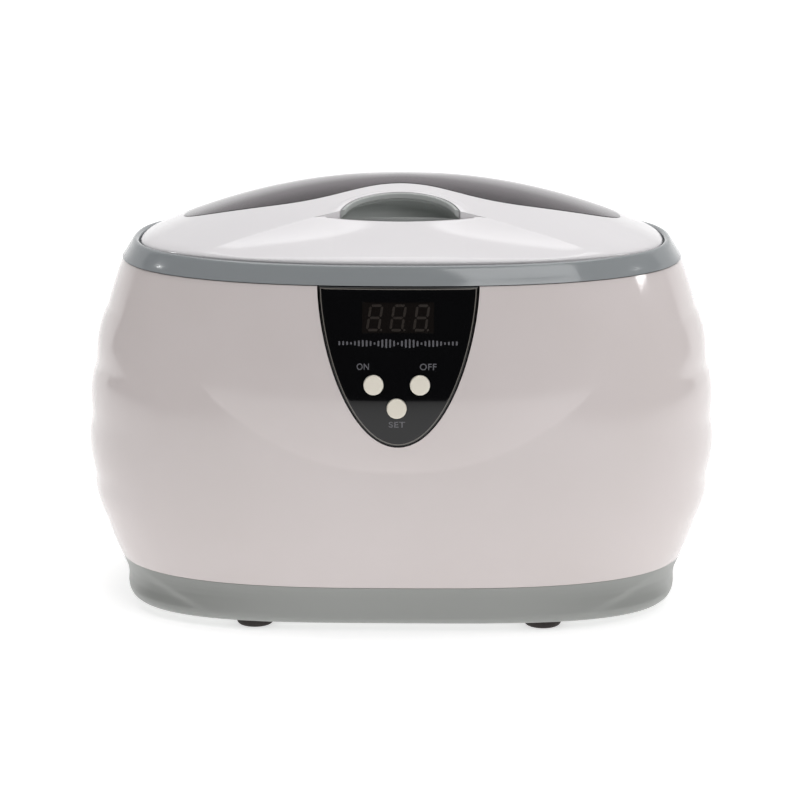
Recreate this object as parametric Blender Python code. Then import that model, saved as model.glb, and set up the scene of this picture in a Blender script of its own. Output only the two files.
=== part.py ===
"""Benchtop ultrasonic cleaner: a barrel-shaped housing, a pressed steel tank and a hinged lid.

The frame has +Z up and the front facing -Y. The origin is under the middle of the machine, at
the level of its feet. Driving dimensions are in millimetres; meshes are made in metres.
"""
import math

import bmesh
import bpy
from mathutils import Matrix, Vector

MM = 0.001
GAP = 0.3                       # clearance left between neighbouring pieces

# Barrel housing
BODY_HALF_WIDTH = 103.9         # at its widest level
BODY_WIDEST_Z = 55.0
BODY_ARC_UPPER = 156.0          # radius of the side's curve above the widest level
BODY_ARC_LOWER = 95.0           # and below it
DEPTH_RATIO = 0.70              # depth over width, at every level
BODY_BOTTOM_Z = 15.2
BODY_TOP_Z = 112.65
OUTLINE_POWER_BOTTOM = 2.9      # superellipse powers of the plan outline
OUTLINE_POWER_TOP = 2.39
SHELL_WALL = 2.4
RIPPLE_NOTCHES = (96.5, 78.0, 61.0, 41.5, 27.0)
RIPPLE_RISE = 1.1
RIPPLE_REACH = math.radians(50)  # how far the side ripples run round the corner

BROW_RISE = 1.4                 # how far the front stands proud above its curved crease
BROW_LOW_Z = 54.8               # the crease's lowest point, in the middle
BROW_LIFT = 31.3                # and how far it has climbed
BROW_HALF_WIDTH = 68.3          # at this distance from the middle, where it dies away

# Base tray and feet
BASE_BOTTOM_Z = 2.5
BASE_TOP_Z = BODY_BOTTOM_Z - GAP
BASE_WALL = 2.4
FOOT_RADIUS = 6.0
FOOT_X = 48.0
FOOT_Y = 54.0
SHELL_SCREW_X = 70.0
SHELL_SCREW_Y = 38.0

# Collar round the tank's mouth
COLLAR_BOTTOM_Z = BODY_TOP_Z + GAP
COLLAR_HALF_WIDTH = 93.1
COLLAR_TOP_Z = 118.9
COLLAR_INNER_HALF_WIDTH = 87.4
COLLAR_LEDGE_Z = 115.4

# Tank
TANK_HALF_X = 77.5
TANK_HALF_Y = 47.5
TANK_POWER = 4.5
TANK_RIM_Z = 111.4
TANK_FLOOR_Z = 58.0
TANK_SHEET = 0.8

# Lid
LID_HALF_WIDTH = 86.9
LID_HALF_DEPTH = 60.8
LID_RIM_Z = 118.6
LID_RISE = 20.2
LID_WALL = 2.0
WINDOW_HALF_WIDTH = 73.0
WINDOW_CENTRE_Y = 2.0
WINDOW_FRONT_REACH = 31.0
WINDOW_REAR_REACH = 42.0
WINDOW_POWER = 2.2
WINDOW_DIP = 16.0               # how far the front edge steps back behind the finger grip
WINDOW_DIP_WIDTH = 22.0
GRIP_FRONT_Y = -35.8
GRIP_HALF_WIDTH = 19.6
GRIP_DEPTH = 14.3
GRIP_LIP = 1.6                  # straight part between the half oval and the front edge
GRIP_FLOOR_Z = 121.2
GRIP_WALL = 1.3
HINGE_Y = 66.5
HINGE_Z = 122.4
HINGE_X = 34.0
HINGE_EYE_RADIUS = 3.4
HINGE_PIN_RADIUS = 1.5

# Fascia panel, its display and its buttons
PANEL_HALF_WIDTH = 25.1
PANEL_TIP_Z = 63.5
PANEL_TOP_Z = 112.6
PANEL_PROUD = 0.4
PANEL_THICKNESS = 2.4
PANEL_CENTRE_Z = 93.0
PANEL_TILT = math.radians(6)
DISPLAY_Z = 103.5
DISPLAY_HALF = (11.2, 4.6)
BUTTON_RADIUS = 3.1
BUTTON_PLACES = {"button_on": (-7.4, 83.0), "button_off": (7.4, 83.0), "button_set": (0.0, 75.9)}

# Ultrasonic transducer, under the middle of the tank
HORN_TOP_Z = TANK_FLOOR_Z - TANK_SHEET - GAP
PIEZO_RADIUS = 19.0
PIEZO_BORE = 6.5

# Circuit boards and the mains inlet
BOARD_BOTTOM_Z = 13.3
BOARD_MIN = (35.0, -32.0)
BOARD_MAX = (81.0, 32.0)
BOARD_THICKNESS = 1.6
INLET_Z = 30.0
INLET_FACE_Y = 70.6
INLET_HALF = (12.0, 8.0)
SOCKET_HALF = (8.6, 4.6)
SOCKET_DEPTH = 12.0
INLET_PIN_X = 4.8
INLET_PIN_RADIUS = 1.2

# Ventilation slots in the rear shell, beside the inlet
VENT_FIRST_X = 38.0
VENT_PITCH = 5.0
VENT_COUNT = 6
VENT_HALF_WIDTH = 1.0
VENT_LOW_Z = 24.0
VENT_HIGH_Z = 40.0

# Fixings under the tray
SCREW_HEAD_RADIUS = 2.9
SCREW_BORE_RADIUS = 3.5         # the counterbore its head drops into
SCREW_SEAT_Z = 9.0
FOOT_RECESS_Z = 3.7


# ---------------------------------------------------------------- helpers

def make_material(name, colour, roughness, metallic=0.0, alpha=1.0):
    """A Principled material with one colour."""
    material = bpy.data.materials.new(name)
    material.use_nodes = True
    shader = material.node_tree.nodes["Principled BSDF"]
    shader.inputs["Base Color"].default_value = (*colour, 1.0)
    shader.inputs["Roughness"].default_value = roughness
    shader.inputs["Metallic"].default_value = metallic
    shader.inputs["Alpha"].default_value = alpha
    return material


def make_object(name, points, faces, material, smooth=None):
    """Turn millimetre points and their faces into an object with outward-facing sides."""
    mesh = bpy.data.meshes.new(name)
    mesh.from_pydata([Vector(p) * MM for p in points], [], faces)
    work = bmesh.new()
    work.from_mesh(mesh)
    bmesh.ops.recalc_face_normals(work, faces=work.faces[:])
    work.to_mesh(mesh)
    work.free()
    mesh.materials.append(material)
    if smooth is not None:
        mesh.shade_smooth()
        mesh.set_sharp_from_angle(angle=math.radians(smooth))
    part = bpy.data.objects.new(name, mesh)
    bpy.context.scene.collection.objects.link(part)
    return part


def loft(name, rings, material, closed_profile=False, closed_loop=True, smooth=35):
    """Join rings of equal length into a solid.

    Rings are joined to the next one along their whole length. With closed_profile the last
    ring joins the first; otherwise the first and last rings are filled. Without closed_loop
    the two ends of every ring are left apart, and the profile they show is filled instead.
    """
    count = len(rings[0])
    points = [p for ring in rings for p in ring]
    faces = []
    ring_pairs = len(rings) if closed_profile else len(rings) - 1
    loop_pairs = count if closed_loop else count - 1
    for i in range(ring_pairs):
        here = i * count
        there = ((i + 1) % len(rings)) * count
        for j in range(loop_pairs):
            after = (j + 1) % count
            faces.append((here + j, here + after, there + after, there + j))
    if not closed_profile:
        faces.append(tuple(range(count)))
        faces.append(tuple((len(rings) - 1) * count + j for j in range(count)))
    if not closed_loop:
        faces.append(tuple(i * count for i in range(len(rings))))
        faces.append(tuple(i * count + count - 1 for i in range(len(rings))))
    return make_object(name, points, faces, material, smooth)


def circle(radius, z, sides, centre=(0.0, 0.0)):
    """A level ring of points about a centre."""
    step = math.tau / sides
    return [(centre[0] + radius * math.cos(i * step), centre[1] + radius * math.sin(i * step), z)
            for i in range(sides)]


def turned(name, profile, material, sides=24, centre=(0.0, 0.0), hollow=False):
    """A solid of revolution from (radius, height) points; hollow joins the last to the first."""
    rings = [circle(radius, z, sides, centre) for radius, z in profile]
    return loft(name, rings, material, closed_profile=hollow)


def block(name, low, high, material, bevel=0.0):
    """A box from its two corners, with an optional bevelled edge."""
    mesh = bpy.data.meshes.new(name)
    work = bmesh.new()
    bmesh.ops.create_cube(work, size=1.0)
    size = [high[i] - low[i] for i in range(3)]
    middle = [(high[i] + low[i]) / 2 for i in range(3)]
    bmesh.ops.scale(work, vec=[s * MM for s in size], verts=work.verts)
    bmesh.ops.translate(work, vec=[m * MM for m in middle], verts=work.verts)
    work.to_mesh(mesh)
    work.free()
    mesh.materials.append(material)
    part = bpy.data.objects.new(name, mesh)
    bpy.context.scene.collection.objects.link(part)
    if bevel:
        edge = part.modifiers.new("edge", "BEVEL")
        edge.width = bevel * MM
        edge.segments = 1
    return part


def prism(name, outline, low, high, axis, material):
    """An outline of 2-D points pushed along an axis, from low to high."""
    def place(point, along):
        u, v = point
        return {"X": (along, u, v), "Y": (u, along, v), "Z": (u, v, along)}[axis]
    rings = [[place(p, along) for p in outline] for along in (low, high)]
    return loft(name, rings, material, smooth=None)


def merge_bodies(name, parts):
    """Put several separate bodies into one cutter, which is then hidden."""
    work = bmesh.new()
    for part in parts:
        work.from_mesh(part.data)
        bpy.data.objects.remove(part)
    mesh = bpy.data.meshes.new(name)
    work.to_mesh(mesh)
    work.free()
    cutter = bpy.data.objects.new(name, mesh)
    bpy.context.scene.collection.objects.link(cutter)
    return cutter


def combine(part, other, operation):
    """Cut or join another body, which then stays behind only as a hidden guide."""
    step = part.modifiers.new(other.name, "BOOLEAN")
    step.operation = operation
    step.solver = "EXACT"
    step.object = other
    other.hide_render = True
    other.display_type = "WIRE"


def tube(name, points, radius, material):
    """A round lead of one radius along a route, with filled ends."""
    curve = bpy.data.curves.new(name, "CURVE")
    curve.dimensions = "3D"
    curve.bevel_depth = radius * MM
    curve.bevel_resolution = 2
    curve.use_fill_caps = True
    route = curve.splines.new("POLY")
    route.points.add(len(points) - 1)
    for point, place in zip(route.points, points):
        point.co = (*[c * MM for c in place], 1.0)
    curve.materials.append(material)
    part = bpy.data.objects.new(name, curve)
    bpy.context.scene.collection.objects.link(part)
    return part


def smooth_route(stops, steps):
    """Points on a Catmull-Rom curve through the stops."""
    padded = [stops[0], *stops, stops[-1]]
    route = []
    for i in range(1, len(padded) - 2):
        a, b, c, d = (Vector(padded[i + k]) for k in (-1, 0, 1, 2))
        for k in range(steps):
            t = k / steps
            route.append(0.5 * (2 * b + (c - a) * t + (2 * a - 5 * b + 4 * c - d) * t ** 2
                                + (3 * b - a - 3 * c + d) * t ** 3))
    route.append(Vector(stops[-1]))
    return route


# ---------------------------------------------------------------- shapes

def superellipse(half_x, half_y, power, angle):
    """The point of a superellipse that a ray at this angle meets, for a unit circle's ray."""
    c = math.cos(angle)
    s = math.sin(angle)
    reach = (abs(c) ** power + abs(s) ** power) ** (-1 / power)
    return half_x * reach * c, half_y * reach * s


def level_ring(half_x, half_y, power, z, sides):
    """A level superellipse ring."""
    return [(*superellipse(half_x, half_y, power, math.tau * i / sides), z) for i in range(sides)]


def barrel_half_width(z):
    """Half the barrel's width: two arcs that meet at its widest level."""
    arc = BODY_ARC_UPPER if z > BODY_WIDEST_Z else BODY_ARC_LOWER
    return BODY_HALF_WIDTH - arc + math.sqrt(arc ** 2 - (z - BODY_WIDEST_Z) ** 2)


def barrel_power(z):
    """The outline's power, which falls steadily from the base to the collar."""
    share = (z - BODY_BOTTOM_Z) / (BODY_TOP_Z - BODY_BOTTOM_Z)
    return OUTLINE_POWER_BOTTOM + (OUTLINE_POWER_TOP - OUTLINE_POWER_BOTTOM) * share


def ripple(z, angle):
    """How far the side ripples stand proud, fading out round the corner."""
    from_side = math.acos(min(1.0, abs(math.cos(angle))))
    weight = max(0.0, 1 - from_side / RIPPLE_REACH)
    weight = weight * weight * (3 - 2 * weight)
    for upper, lower in zip(RIPPLE_NOTCHES, RIPPLE_NOTCHES[1:]):
        if lower < z < upper:
            share = (upper - z) / (upper - lower)
            return RIPPLE_RISE * weight * math.sin(math.pi * share ** 0.85)
    return 0.0


def brow(x, z):
    """How far the front stands proud above the crease that curves up like a smile."""
    across = abs(x) / BROW_HALF_WIDTH
    crease = BROW_LOW_Z + BROW_LIFT * across ** 2.25
    if across >= 1.0 or z <= crease:
        return 0.0
    climb = (z - crease) / (BODY_TOP_Z - crease)
    return BROW_RISE * (1 - across ** 2) * math.sin(math.pi * climb)


def barrel_point(z, angle, inset=0.0):
    """A point on the barrel, or on a surface inset from it."""
    half = barrel_half_width(z)
    swell = ripple(z, angle) if inset == 0.0 else -inset
    x, y = superellipse(half + swell, half * DEPTH_RATIO + swell, barrel_power(z), angle)
    if y < 0.0:
        y -= brow(x, z)
    return x, y, z


def barrel_front_y(x, z):
    """Where the barrel's front surface stands at this width and height."""
    half = barrel_half_width(z)
    power = barrel_power(z)
    return -half * DEPTH_RATIO * (1 - abs(x / half) ** power) ** (1 / power) - brow(x, z)


def front_slab(name, outline, centre, rings, material):
    """A slab that follows the barrel's front: rings of (offset outwards, depth) from its outline.

    An offset of None means the middle of the slab.
    """
    loops = []
    for offset, depth in rings:
        loop = []
        for x, z in outline:
            away = Vector((x, z)) - Vector(centre)
            if offset is None:
                spot = Vector(centre) + away * 0.05
            else:
                spot = Vector(centre) + away * (1 + offset / away.length)
            height = min(spot.y, PANEL_TOP_Z)
            loop.append((spot.x, barrel_front_y(spot.x, height) + depth, height))
        loops.append(loop)
    return loft(name, loops, material, smooth=30)


def panel_outline(grow, sides):
    """The shield: a level top edge, and sides that round in to one point at the bottom."""
    height = PANEL_TOP_Z - PANEL_TIP_Z
    points = []
    for i in range(sides + 1):
        across = math.sin(math.pi * (i / sides - 0.5))
        drop = (1 - across * across) ** 0.625
        points.append((across * (PANEL_HALF_WIDTH + grow),
                       PANEL_TOP_Z - (height + grow) * drop))
    for share in (0.6, 0.2, -0.2, -0.6):
        points.append((share * (PANEL_HALF_WIDTH + grow), PANEL_TOP_Z))
    return points


def rounded_rectangle(half_x, half_z, radius, centre, steps=3):
    """An upright rectangle with round corners."""
    points = []
    for sx, sz, start in ((1, 1, 0.0), (-1, 1, 90.0), (-1, -1, 180.0), (1, -1, 270.0)):
        for i in range(steps + 1):
            turn = math.radians(start + 90.0 * i / steps)
            points.append((centre[0] + sx * (half_x - radius) + radius * math.cos(turn),
                           centre[1] + sz * (half_z - radius) + radius * math.sin(turn)))
    return points


def dome_z(x, y):
    """Height of the lid's outer surface."""
    power = OUTLINE_POWER_TOP
    spread = (abs(x / (LID_HALF_WIDTH + 1)) ** power
              + abs(y / (LID_HALF_DEPTH + 0.6)) ** power) ** (1 / power)
    return LID_RIM_Z + LID_RISE * (1 - spread ** 2)


def window_outline(t, grow=0.0):
    """The window's edge in plan, a superellipse whose front steps back behind the grip."""
    c = math.cos(t)
    s = math.sin(t)
    reach_y = WINDOW_REAR_REACH if s > 0 else WINDOW_FRONT_REACH
    x = (WINDOW_HALF_WIDTH + grow) * math.copysign(abs(c) ** (2 / WINDOW_POWER), c)
    y = WINDOW_CENTRE_Y + (reach_y + grow) * math.copysign(abs(s) ** (2 / WINDOW_POWER), s)
    if s < 0:
        y += WINDOW_DIP * math.exp(-(x / WINDOW_DIP_WIDTH) ** 2)
    return x, y


def grip_outline(grow=0.0, steps=14):
    """The finger grip in plan: a straight front edge closed by a half superellipse behind."""
    points = []
    for i in range(steps + 1):
        turn = math.pi * i / steps
        x, y = superellipse(GRIP_HALF_WIDTH + grow, GRIP_DEPTH + grow, 1.9, turn)
        points.append((x, GRIP_FRONT_Y + y))
    points.append((-GRIP_HALF_WIDTH - grow, GRIP_FRONT_Y - GRIP_LIP - grow))
    points.append((GRIP_HALF_WIDTH + grow, GRIP_FRONT_Y - GRIP_LIP - grow))
    return points


# ---------------------------------------------------------------- the pieces

def shell_levels():
    """Heights of the shell's rows: three to each ripple and a few above and below."""
    levels = [BODY_BOTTOM_Z, 21.0]
    notches = sorted(RIPPLE_NOTCHES)
    for lower, upper in zip(notches, notches[1:]):
        levels += [lower + (upper - lower) * k / 3 for k in range(3)]
    return levels + [notches[-1], 104.0, BODY_TOP_Z]


def build_shell(name, side, material, guide):
    """Half of the barrel; side is -1 for the front half and +1 for the rear half."""
    columns = 26
    levels = shell_levels()
    inner_levels = [BODY_BOTTOM_Z, 32.0, 54.0, 69.0, 84.0, 99.0, BODY_TOP_Z]
    rings = []
    profile = [(z, 0.0) for z in levels] + [(z, SHELL_WALL) for z in reversed(inner_levels)]
    for z, inset in profile:
        ring = []
        for i in range(columns + 1):
            x, y, z = barrel_point(z, side * math.pi * i / columns, inset)
            if i in (0, columns):
                y = side * GAP / 2
            ring.append((x, y, z))
        rings.append(ring)
    shell = loft(name, rings, material, closed_profile=True, closed_loop=False, smooth=40)
    bosses = []
    for sx in (-1, 1):
        centre = (sx * SHELL_SCREW_X, side * SHELL_SCREW_Y)
        boss = [(4.0, 15.5), (4.0, 30.0), (0.9, 30.0), (0.9, 28.0), (1.6, 28.0), (1.6, 15.5)]
        bosses.append(turned(name + "_boss", boss, guide, sides=12, centre=centre, hollow=True))
        ends = sorted((sx * (SHELL_SCREW_X + 3.0), sx * 87.3))
        bosses.append(block(name + "_rib", (ends[0], centre[1] - 1.0, 15.6),
                            (ends[1], centre[1] + 1.0, 23.0), guide))
    for i, boss in enumerate(bosses):
        boss.name = f"{name}_boss_{i}"
        combine(shell, boss, "UNION")
    return shell


def build_front_shell(white, guide):
    """The front half, notched from its top edge for the fascia panel."""
    shell = build_shell("front_shell", -1, white, guide)
    outline = panel_outline(GAP, 20)
    outline = [(x, z if z < PANEL_TOP_Z else PANEL_TOP_Z + 5.0) for x, z in outline]
    notch = prism("panel_notch", outline, -80.0, -52.0, "Y", guide)
    combine(shell, notch, "DIFFERENCE")
    return shell


def build_rear_shell(white, guide):
    """The rear half, with a window for the mains inlet and slots that let the driver breathe."""
    shell = build_shell("rear_shell", 1, white, guide)
    half_x, half_z = (half + 0.5 for half in INLET_HALF)
    cutters = [block("inlet_hole", (-half_x, 60.0, INLET_Z - half_z), (half_x, 80.0, INLET_Z + half_z),
                     guide)]
    for i in range(VENT_COUNT):
        x = VENT_FIRST_X + i * VENT_PITCH
        cutters.append(block("vent", (x - VENT_HALF_WIDTH, 52.0, VENT_LOW_Z),
                             (x + VENT_HALF_WIDTH, 80.0, VENT_HIGH_Z), guide))
    combine(shell, merge_bodies("rear_shell_holes", cutters), "DIFFERENCE")
    return shell


def build_base_tray(grey, guide):
    """An open tray with rounded lower edges, screw tubes, board posts and foot sockets."""
    profile = [
        (95.2, 66.7, 2.9, BASE_TOP_Z), (93.6, 66.4, 3.0, 13.4), (92.4, 66.2, 3.2, 11.5),
        (92.2, 65.8, 3.5, 5.0), (91.3, 65.0, 3.55, 3.2), (89.6, 63.3, 3.55, BASE_BOTTOM_Z),
    ]
    inner = [
        (89.2, 63.0, 3.5, BASE_BOTTOM_Z + BASE_WALL), (90.0, 63.6, 3.3, 10.0),
        (92.0, 63.9, 2.9, BASE_TOP_Z),
    ]
    sides = 48
    rings = [level_ring(*row, sides) for row in inner + profile]
    tray = loft("base_tray", rings, grey, smooth=40)
    posts = []
    for sx in (-1, 1):
        for sy in (-1, 1):
            posts.append(turned("tube", [(4.8, 3.0), (4.8, BASE_TOP_Z)], guide, 12,
                                (sx * SHELL_SCREW_X, sy * SHELL_SCREW_Y)))
    for x, y in board_screw_places():
        posts.append(turned("post", [(3.2, 3.0), (3.2, BOARD_BOTTOM_Z - GAP)], guide, 10, (x, y)))
    combine(tray, merge_bodies("tray_posts", posts), "UNION")
    holes = []
    for sx in (-1, 1):
        for sy in (-1, 1):
            spot = (sx * SHELL_SCREW_X, sy * SHELL_SCREW_Y)
            bore = [(SCREW_BORE_RADIUS, 1.0), (SCREW_BORE_RADIUS, SCREW_SEAT_Z),
                    (1.6, SCREW_SEAT_Z), (1.6, 20.0)]
            holes.append(turned("bore", bore, guide, 12, spot))
            recess = [(FOOT_RADIUS + GAP, 1.0), (FOOT_RADIUS + GAP, FOOT_RECESS_Z)]
            holes.append(turned("recess", recess, guide, 16, (sx * FOOT_X, sy * FOOT_Y)))
    for x, y in board_screw_places():
        holes.append(turned("pilot", [(1.5, 6.0), (1.5, 20.0)], guide, 8, (x, y)))
    combine(tray, merge_bodies("tray_holes", holes), "DIFFERENCE")
    return tray


def build_feet(rubber):
    """Four turned rubber feet, each pushed into its socket under the tray."""
    profile = [(4.6, 0.0), (5.6, 0.4), (FOOT_RADIUS, 1.2), (FOOT_RADIUS, FOOT_RECESS_Z - GAP)]
    for end, sy in (("front", -1), ("rear", 1)):
        for hand, sx in (("left", -1), ("right", 1)):
            foot = turned(f"foot_{end}_{hand}", profile, rubber, 16)
            foot.location = Vector((sx * FOOT_X, sy * FOOT_Y, 0.0)) * MM


def build_screws(steel):
    """Long shell screws driven up through the tray, and short ones that hold the driver board."""
    top = SCREW_SEAT_Z - GAP
    long_screw = [(1.2, 26.0), (1.2, top), (SCREW_HEAD_RADIUS, top), (SCREW_HEAD_RADIUS, top - 1.4),
                  (2.0, top - 2.2)]
    for end, sy in (("front", -1), ("rear", 1)):
        for hand, sx in (("left", -1), ("right", 1)):
            screw = turned(f"shell_screw_{end}_{hand}", long_screw, steel, 10)
            screw.location = Vector((sx * SHELL_SCREW_X, sy * SHELL_SCREW_Y, 0.0)) * MM
    top = BOARD_BOTTOM_Z + BOARD_THICKNESS + GAP
    short_screw = [(1.1, 7.0), (1.1, top), (2.6, top), (2.6, top + 0.9), (1.7, top + 1.6)]
    for name, (x, y) in zip(("board_screw_near", "board_screw_far"), board_screw_places()):
        screw = turned(name, short_screw, steel, 8)
        screw.location = Vector((x, y, 0.0)) * MM


def board_screw_places():
    """Two opposite corners of the driver board."""
    inset = 4.5
    return ((BOARD_MIN[0] + inset, BOARD_MIN[1] + inset), (BOARD_MAX[0] - inset, BOARD_MAX[1] - inset))


def build_collar(grey, guide):
    """The ring between housing and lid: sloping outside, a ledge inside and hinge lugs behind."""
    sides = 52
    top_power = OUTLINE_POWER_TOP
    ring_rows = [
        (COLLAR_HALF_WIDTH, COLLAR_HALF_WIDTH * DEPTH_RATIO, top_power, COLLAR_BOTTOM_Z),
        (91.2, 63.9, top_power, 115.8),
        (89.9, 62.9, top_power, 117.8),
        (89.1, 62.3, top_power, COLLAR_TOP_Z - 0.2),
        (88.4, 61.9, top_power, COLLAR_TOP_Z),
        (COLLAR_INNER_HALF_WIDTH, 61.3, top_power, COLLAR_TOP_Z - 0.4),
        (COLLAR_INNER_HALF_WIDTH, 61.3, top_power, COLLAR_LEDGE_Z),
        (82.5, 54.5, 2.9, COLLAR_LEDGE_Z),
        (79.0, 49.0, TANK_POWER, 114.2),
        (78.6, 48.6, TANK_POWER, COLLAR_BOTTOM_Z),
    ]
    rings = [level_ring(*row, sides) for row in ring_rows]
    collar = loft("collar_ring", rings, grey, closed_profile=True, smooth=40)
    lugs = []
    for sx in (-1, 1):
        for near, far, front_y in ((25.6, 29.7, 60.2), (38.3, 42.4, 57.9)):
            low, high = sorted((sx * near, sx * far))
            lugs.append(prism("lug", lug_outline(front_y), low, high, "X", guide))
    combine(collar, merge_bodies("collar_lugs", lugs), "UNION")
    bores = [hinge_cylinder("bore", HINGE_PIN_RADIUS + GAP, sx * HINGE_X, 12.0, guide, 12)
             for sx in (-1, 1)]
    combine(collar, merge_bodies("collar_bores", bores), "DIFFERENCE")
    return collar


def lug_outline(front_y):
    """A hinge lug seen from the side: a round eye on a web that grows out of the collar."""
    arc = [math.radians(a) for a in range(-60, 201, 26)]
    eye = [(HINGE_Y + HINGE_EYE_RADIUS * math.cos(a), HINGE_Z + HINGE_EYE_RADIUS * math.sin(a))
           for a in arc]
    return eye + [(front_y, 118.4), (front_y, 113.6), (66.2, 113.6)]


def hinge_cylinder(name, radius, middle_x, half_length, material, sides):
    """A cylinder along the hinge line."""
    step = math.tau / sides
    outline = [(HINGE_Y + radius * math.cos(i * step), HINGE_Z + radius * math.sin(i * step))
               for i in range(sides)]
    return prism(name, outline, middle_x - half_length, middle_x + half_length, "X", material)


def build_hinge_pins(steel):
    """One steel pin through each pair of lugs and the lid eye between them."""
    for hand, sx in (("left", -1), ("right", 1)):
        pin = hinge_cylinder(f"hinge_pin_{hand}", HINGE_PIN_RADIUS, sx * HINGE_X, 8.2, steel, 12)
        pin.data.shade_smooth()
        pin.data.set_sharp_from_angle(angle=math.radians(35))


def set_origin(part, spot):
    """Move an object's origin to a point, leaving its mesh where it is."""
    offset = Vector(spot) * MM
    part.data.transform(Matrix.Translation(-offset))
    part.location = offset


def build_lid(white, smoke, grey, guide):
    """The lid: a white frame with two hinge eyes, its smoked window and its finger grip."""
    hinge = bpy.data.objects.new("lid_hinge", None)
    hinge.location = Vector((0.0, HINGE_Y, HINGE_Z)) * MM
    bpy.context.scene.collection.objects.link(hinge)
    frame = build_lid_frame(white, guide)
    window = build_lid_window(smoke)
    grip = build_lid_grip(grey, guide)
    for part in (frame, window, grip):
        for step in part.modifiers:
            set_origin(step.object, (0.0, HINGE_Y, HINGE_Z))
            step.object.parent = hinge
            step.object.location = (0.0, 0.0, 0.0)
        set_origin(part, (0.0, HINGE_Y, HINGE_Z))
        part.parent = hinge
        part.location = (0.0, 0.0, 0.0)


def build_lid_frame(white, guide):
    """A domed ring from the window's edge out to a short vertical rim."""
    sides = 48
    turns = [math.tau * i / sides for i in range(sides)]

    def row(share, drop, rim_inset=0.0):
        ring = []
        for t in turns:
            wx, wy = window_outline(t)
            c, s = math.cos(t), math.sin(t)
            power = 2 / OUTLINE_POWER_TOP
            rx = (LID_HALF_WIDTH - rim_inset) * math.copysign(abs(c) ** power, c)
            ry = (LID_HALF_DEPTH - rim_inset) * math.copysign(abs(s) ** power, s)
            x = wx + (rx - wx) * share
            y = wy + (ry - wy) * share
            ring.append((x, y, dome_z(x, y) - drop))
        return ring

    def rim(inset, z):
        return [(x, y, z) for x, y, _ in row(1.0, 0.0, inset)]

    rim_bottom = COLLAR_LEDGE_Z + GAP
    outer = [row(share, 0.0) for share in (0.0, 0.35, 0.7)]
    edge = [row(1.0, 0.0, 0.7), rim(0.0, LID_RIM_Z - 0.6), rim(0.0, rim_bottom)]
    inner = [rim(2.2, rim_bottom), row(1.0, LID_WALL, 3.0)]
    inner += [row(share, LID_WALL) for share in (0.5, 0.0)]
    frame = loft("lid_frame", outer + edge + inner, white, closed_profile=True, smooth=40)
    arms = []
    for sx in (-1, 1):
        middle = sx * HINGE_X
        arc = [math.radians(a) for a in range(-120, 91, 21)]
        eye = [(HINGE_Y + HINGE_EYE_RADIUS * math.cos(a), HINGE_Z + HINGE_EYE_RADIUS * math.sin(a))
               for a in arc]
        outline = eye + [(HINGE_Y - 12.0, HINGE_Z - 0.4), (HINGE_Y - 12.0, HINGE_Z - 2.8)]
        arms.append(prism("arm", outline, middle - 3.8, middle + 3.8, "X", guide))
    combine(frame, merge_bodies("lid_arms", arms), "UNION")
    bores = [hinge_cylinder("bore", HINGE_PIN_RADIUS + GAP, sx * HINGE_X, 6.0, guide, 12)
             for sx in (-1, 1)]
    combine(frame, merge_bodies("lid_bores", bores), "DIFFERENCE")
    pocket = prism("lid_pocket", grip_outline(GAP), 116.0, 150.0, "Z", guide)
    combine(frame, pocket, "DIFFERENCE")
    return frame


def build_lid_window(smoke):
    """The smoked window: flush in the frame's opening, with a hidden flange under its edge."""
    sides = 48

    def row(scale, grow, drop):
        ring = []
        for i in range(sides):
            x, y = window_outline(math.tau * i / sides, grow)
            x *= scale
            y = WINDOW_CENTRE_Y + 6.0 + (y - WINDOW_CENTRE_Y - 6.0) * scale
            ring.append((x, y, dome_z(x, y) - drop))
        return ring

    rings = [row(0.04, 0.0, 0.0), row(0.5, 0.0, -0.3),
             row(1.0, -0.35, -0.2), row(1.0, -0.35, LID_WALL + GAP), row(1.0, 2.2, LID_WALL + GAP),
             row(1.0, 2.2, LID_WALL + 1.5), row(0.6, 0.0, LID_WALL + 1.3), row(0.04, 0.0, LID_WALL + 1.0)]
    return loft("lid_window", rings, smoke, smooth=35)


def build_lid_grip(grey, guide):
    """The finger grip, a cup whose rim follows the dome."""
    outline = grip_outline()
    rings = [[(x, y, GRIP_FLOOR_Z) for x, y in outline],
             [(x, y, dome_z(x, y) - 0.1) for x, y in outline]]
    grip = loft("lid_grip", rings, grey, smooth=None)
    hollow = prism("grip_hollow", grip_outline(-GRIP_WALL), GRIP_FLOOR_Z + GRIP_WALL, 150.0, "Z", guide)
    combine(grip, hollow, "DIFFERENCE")
    return grip


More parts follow.
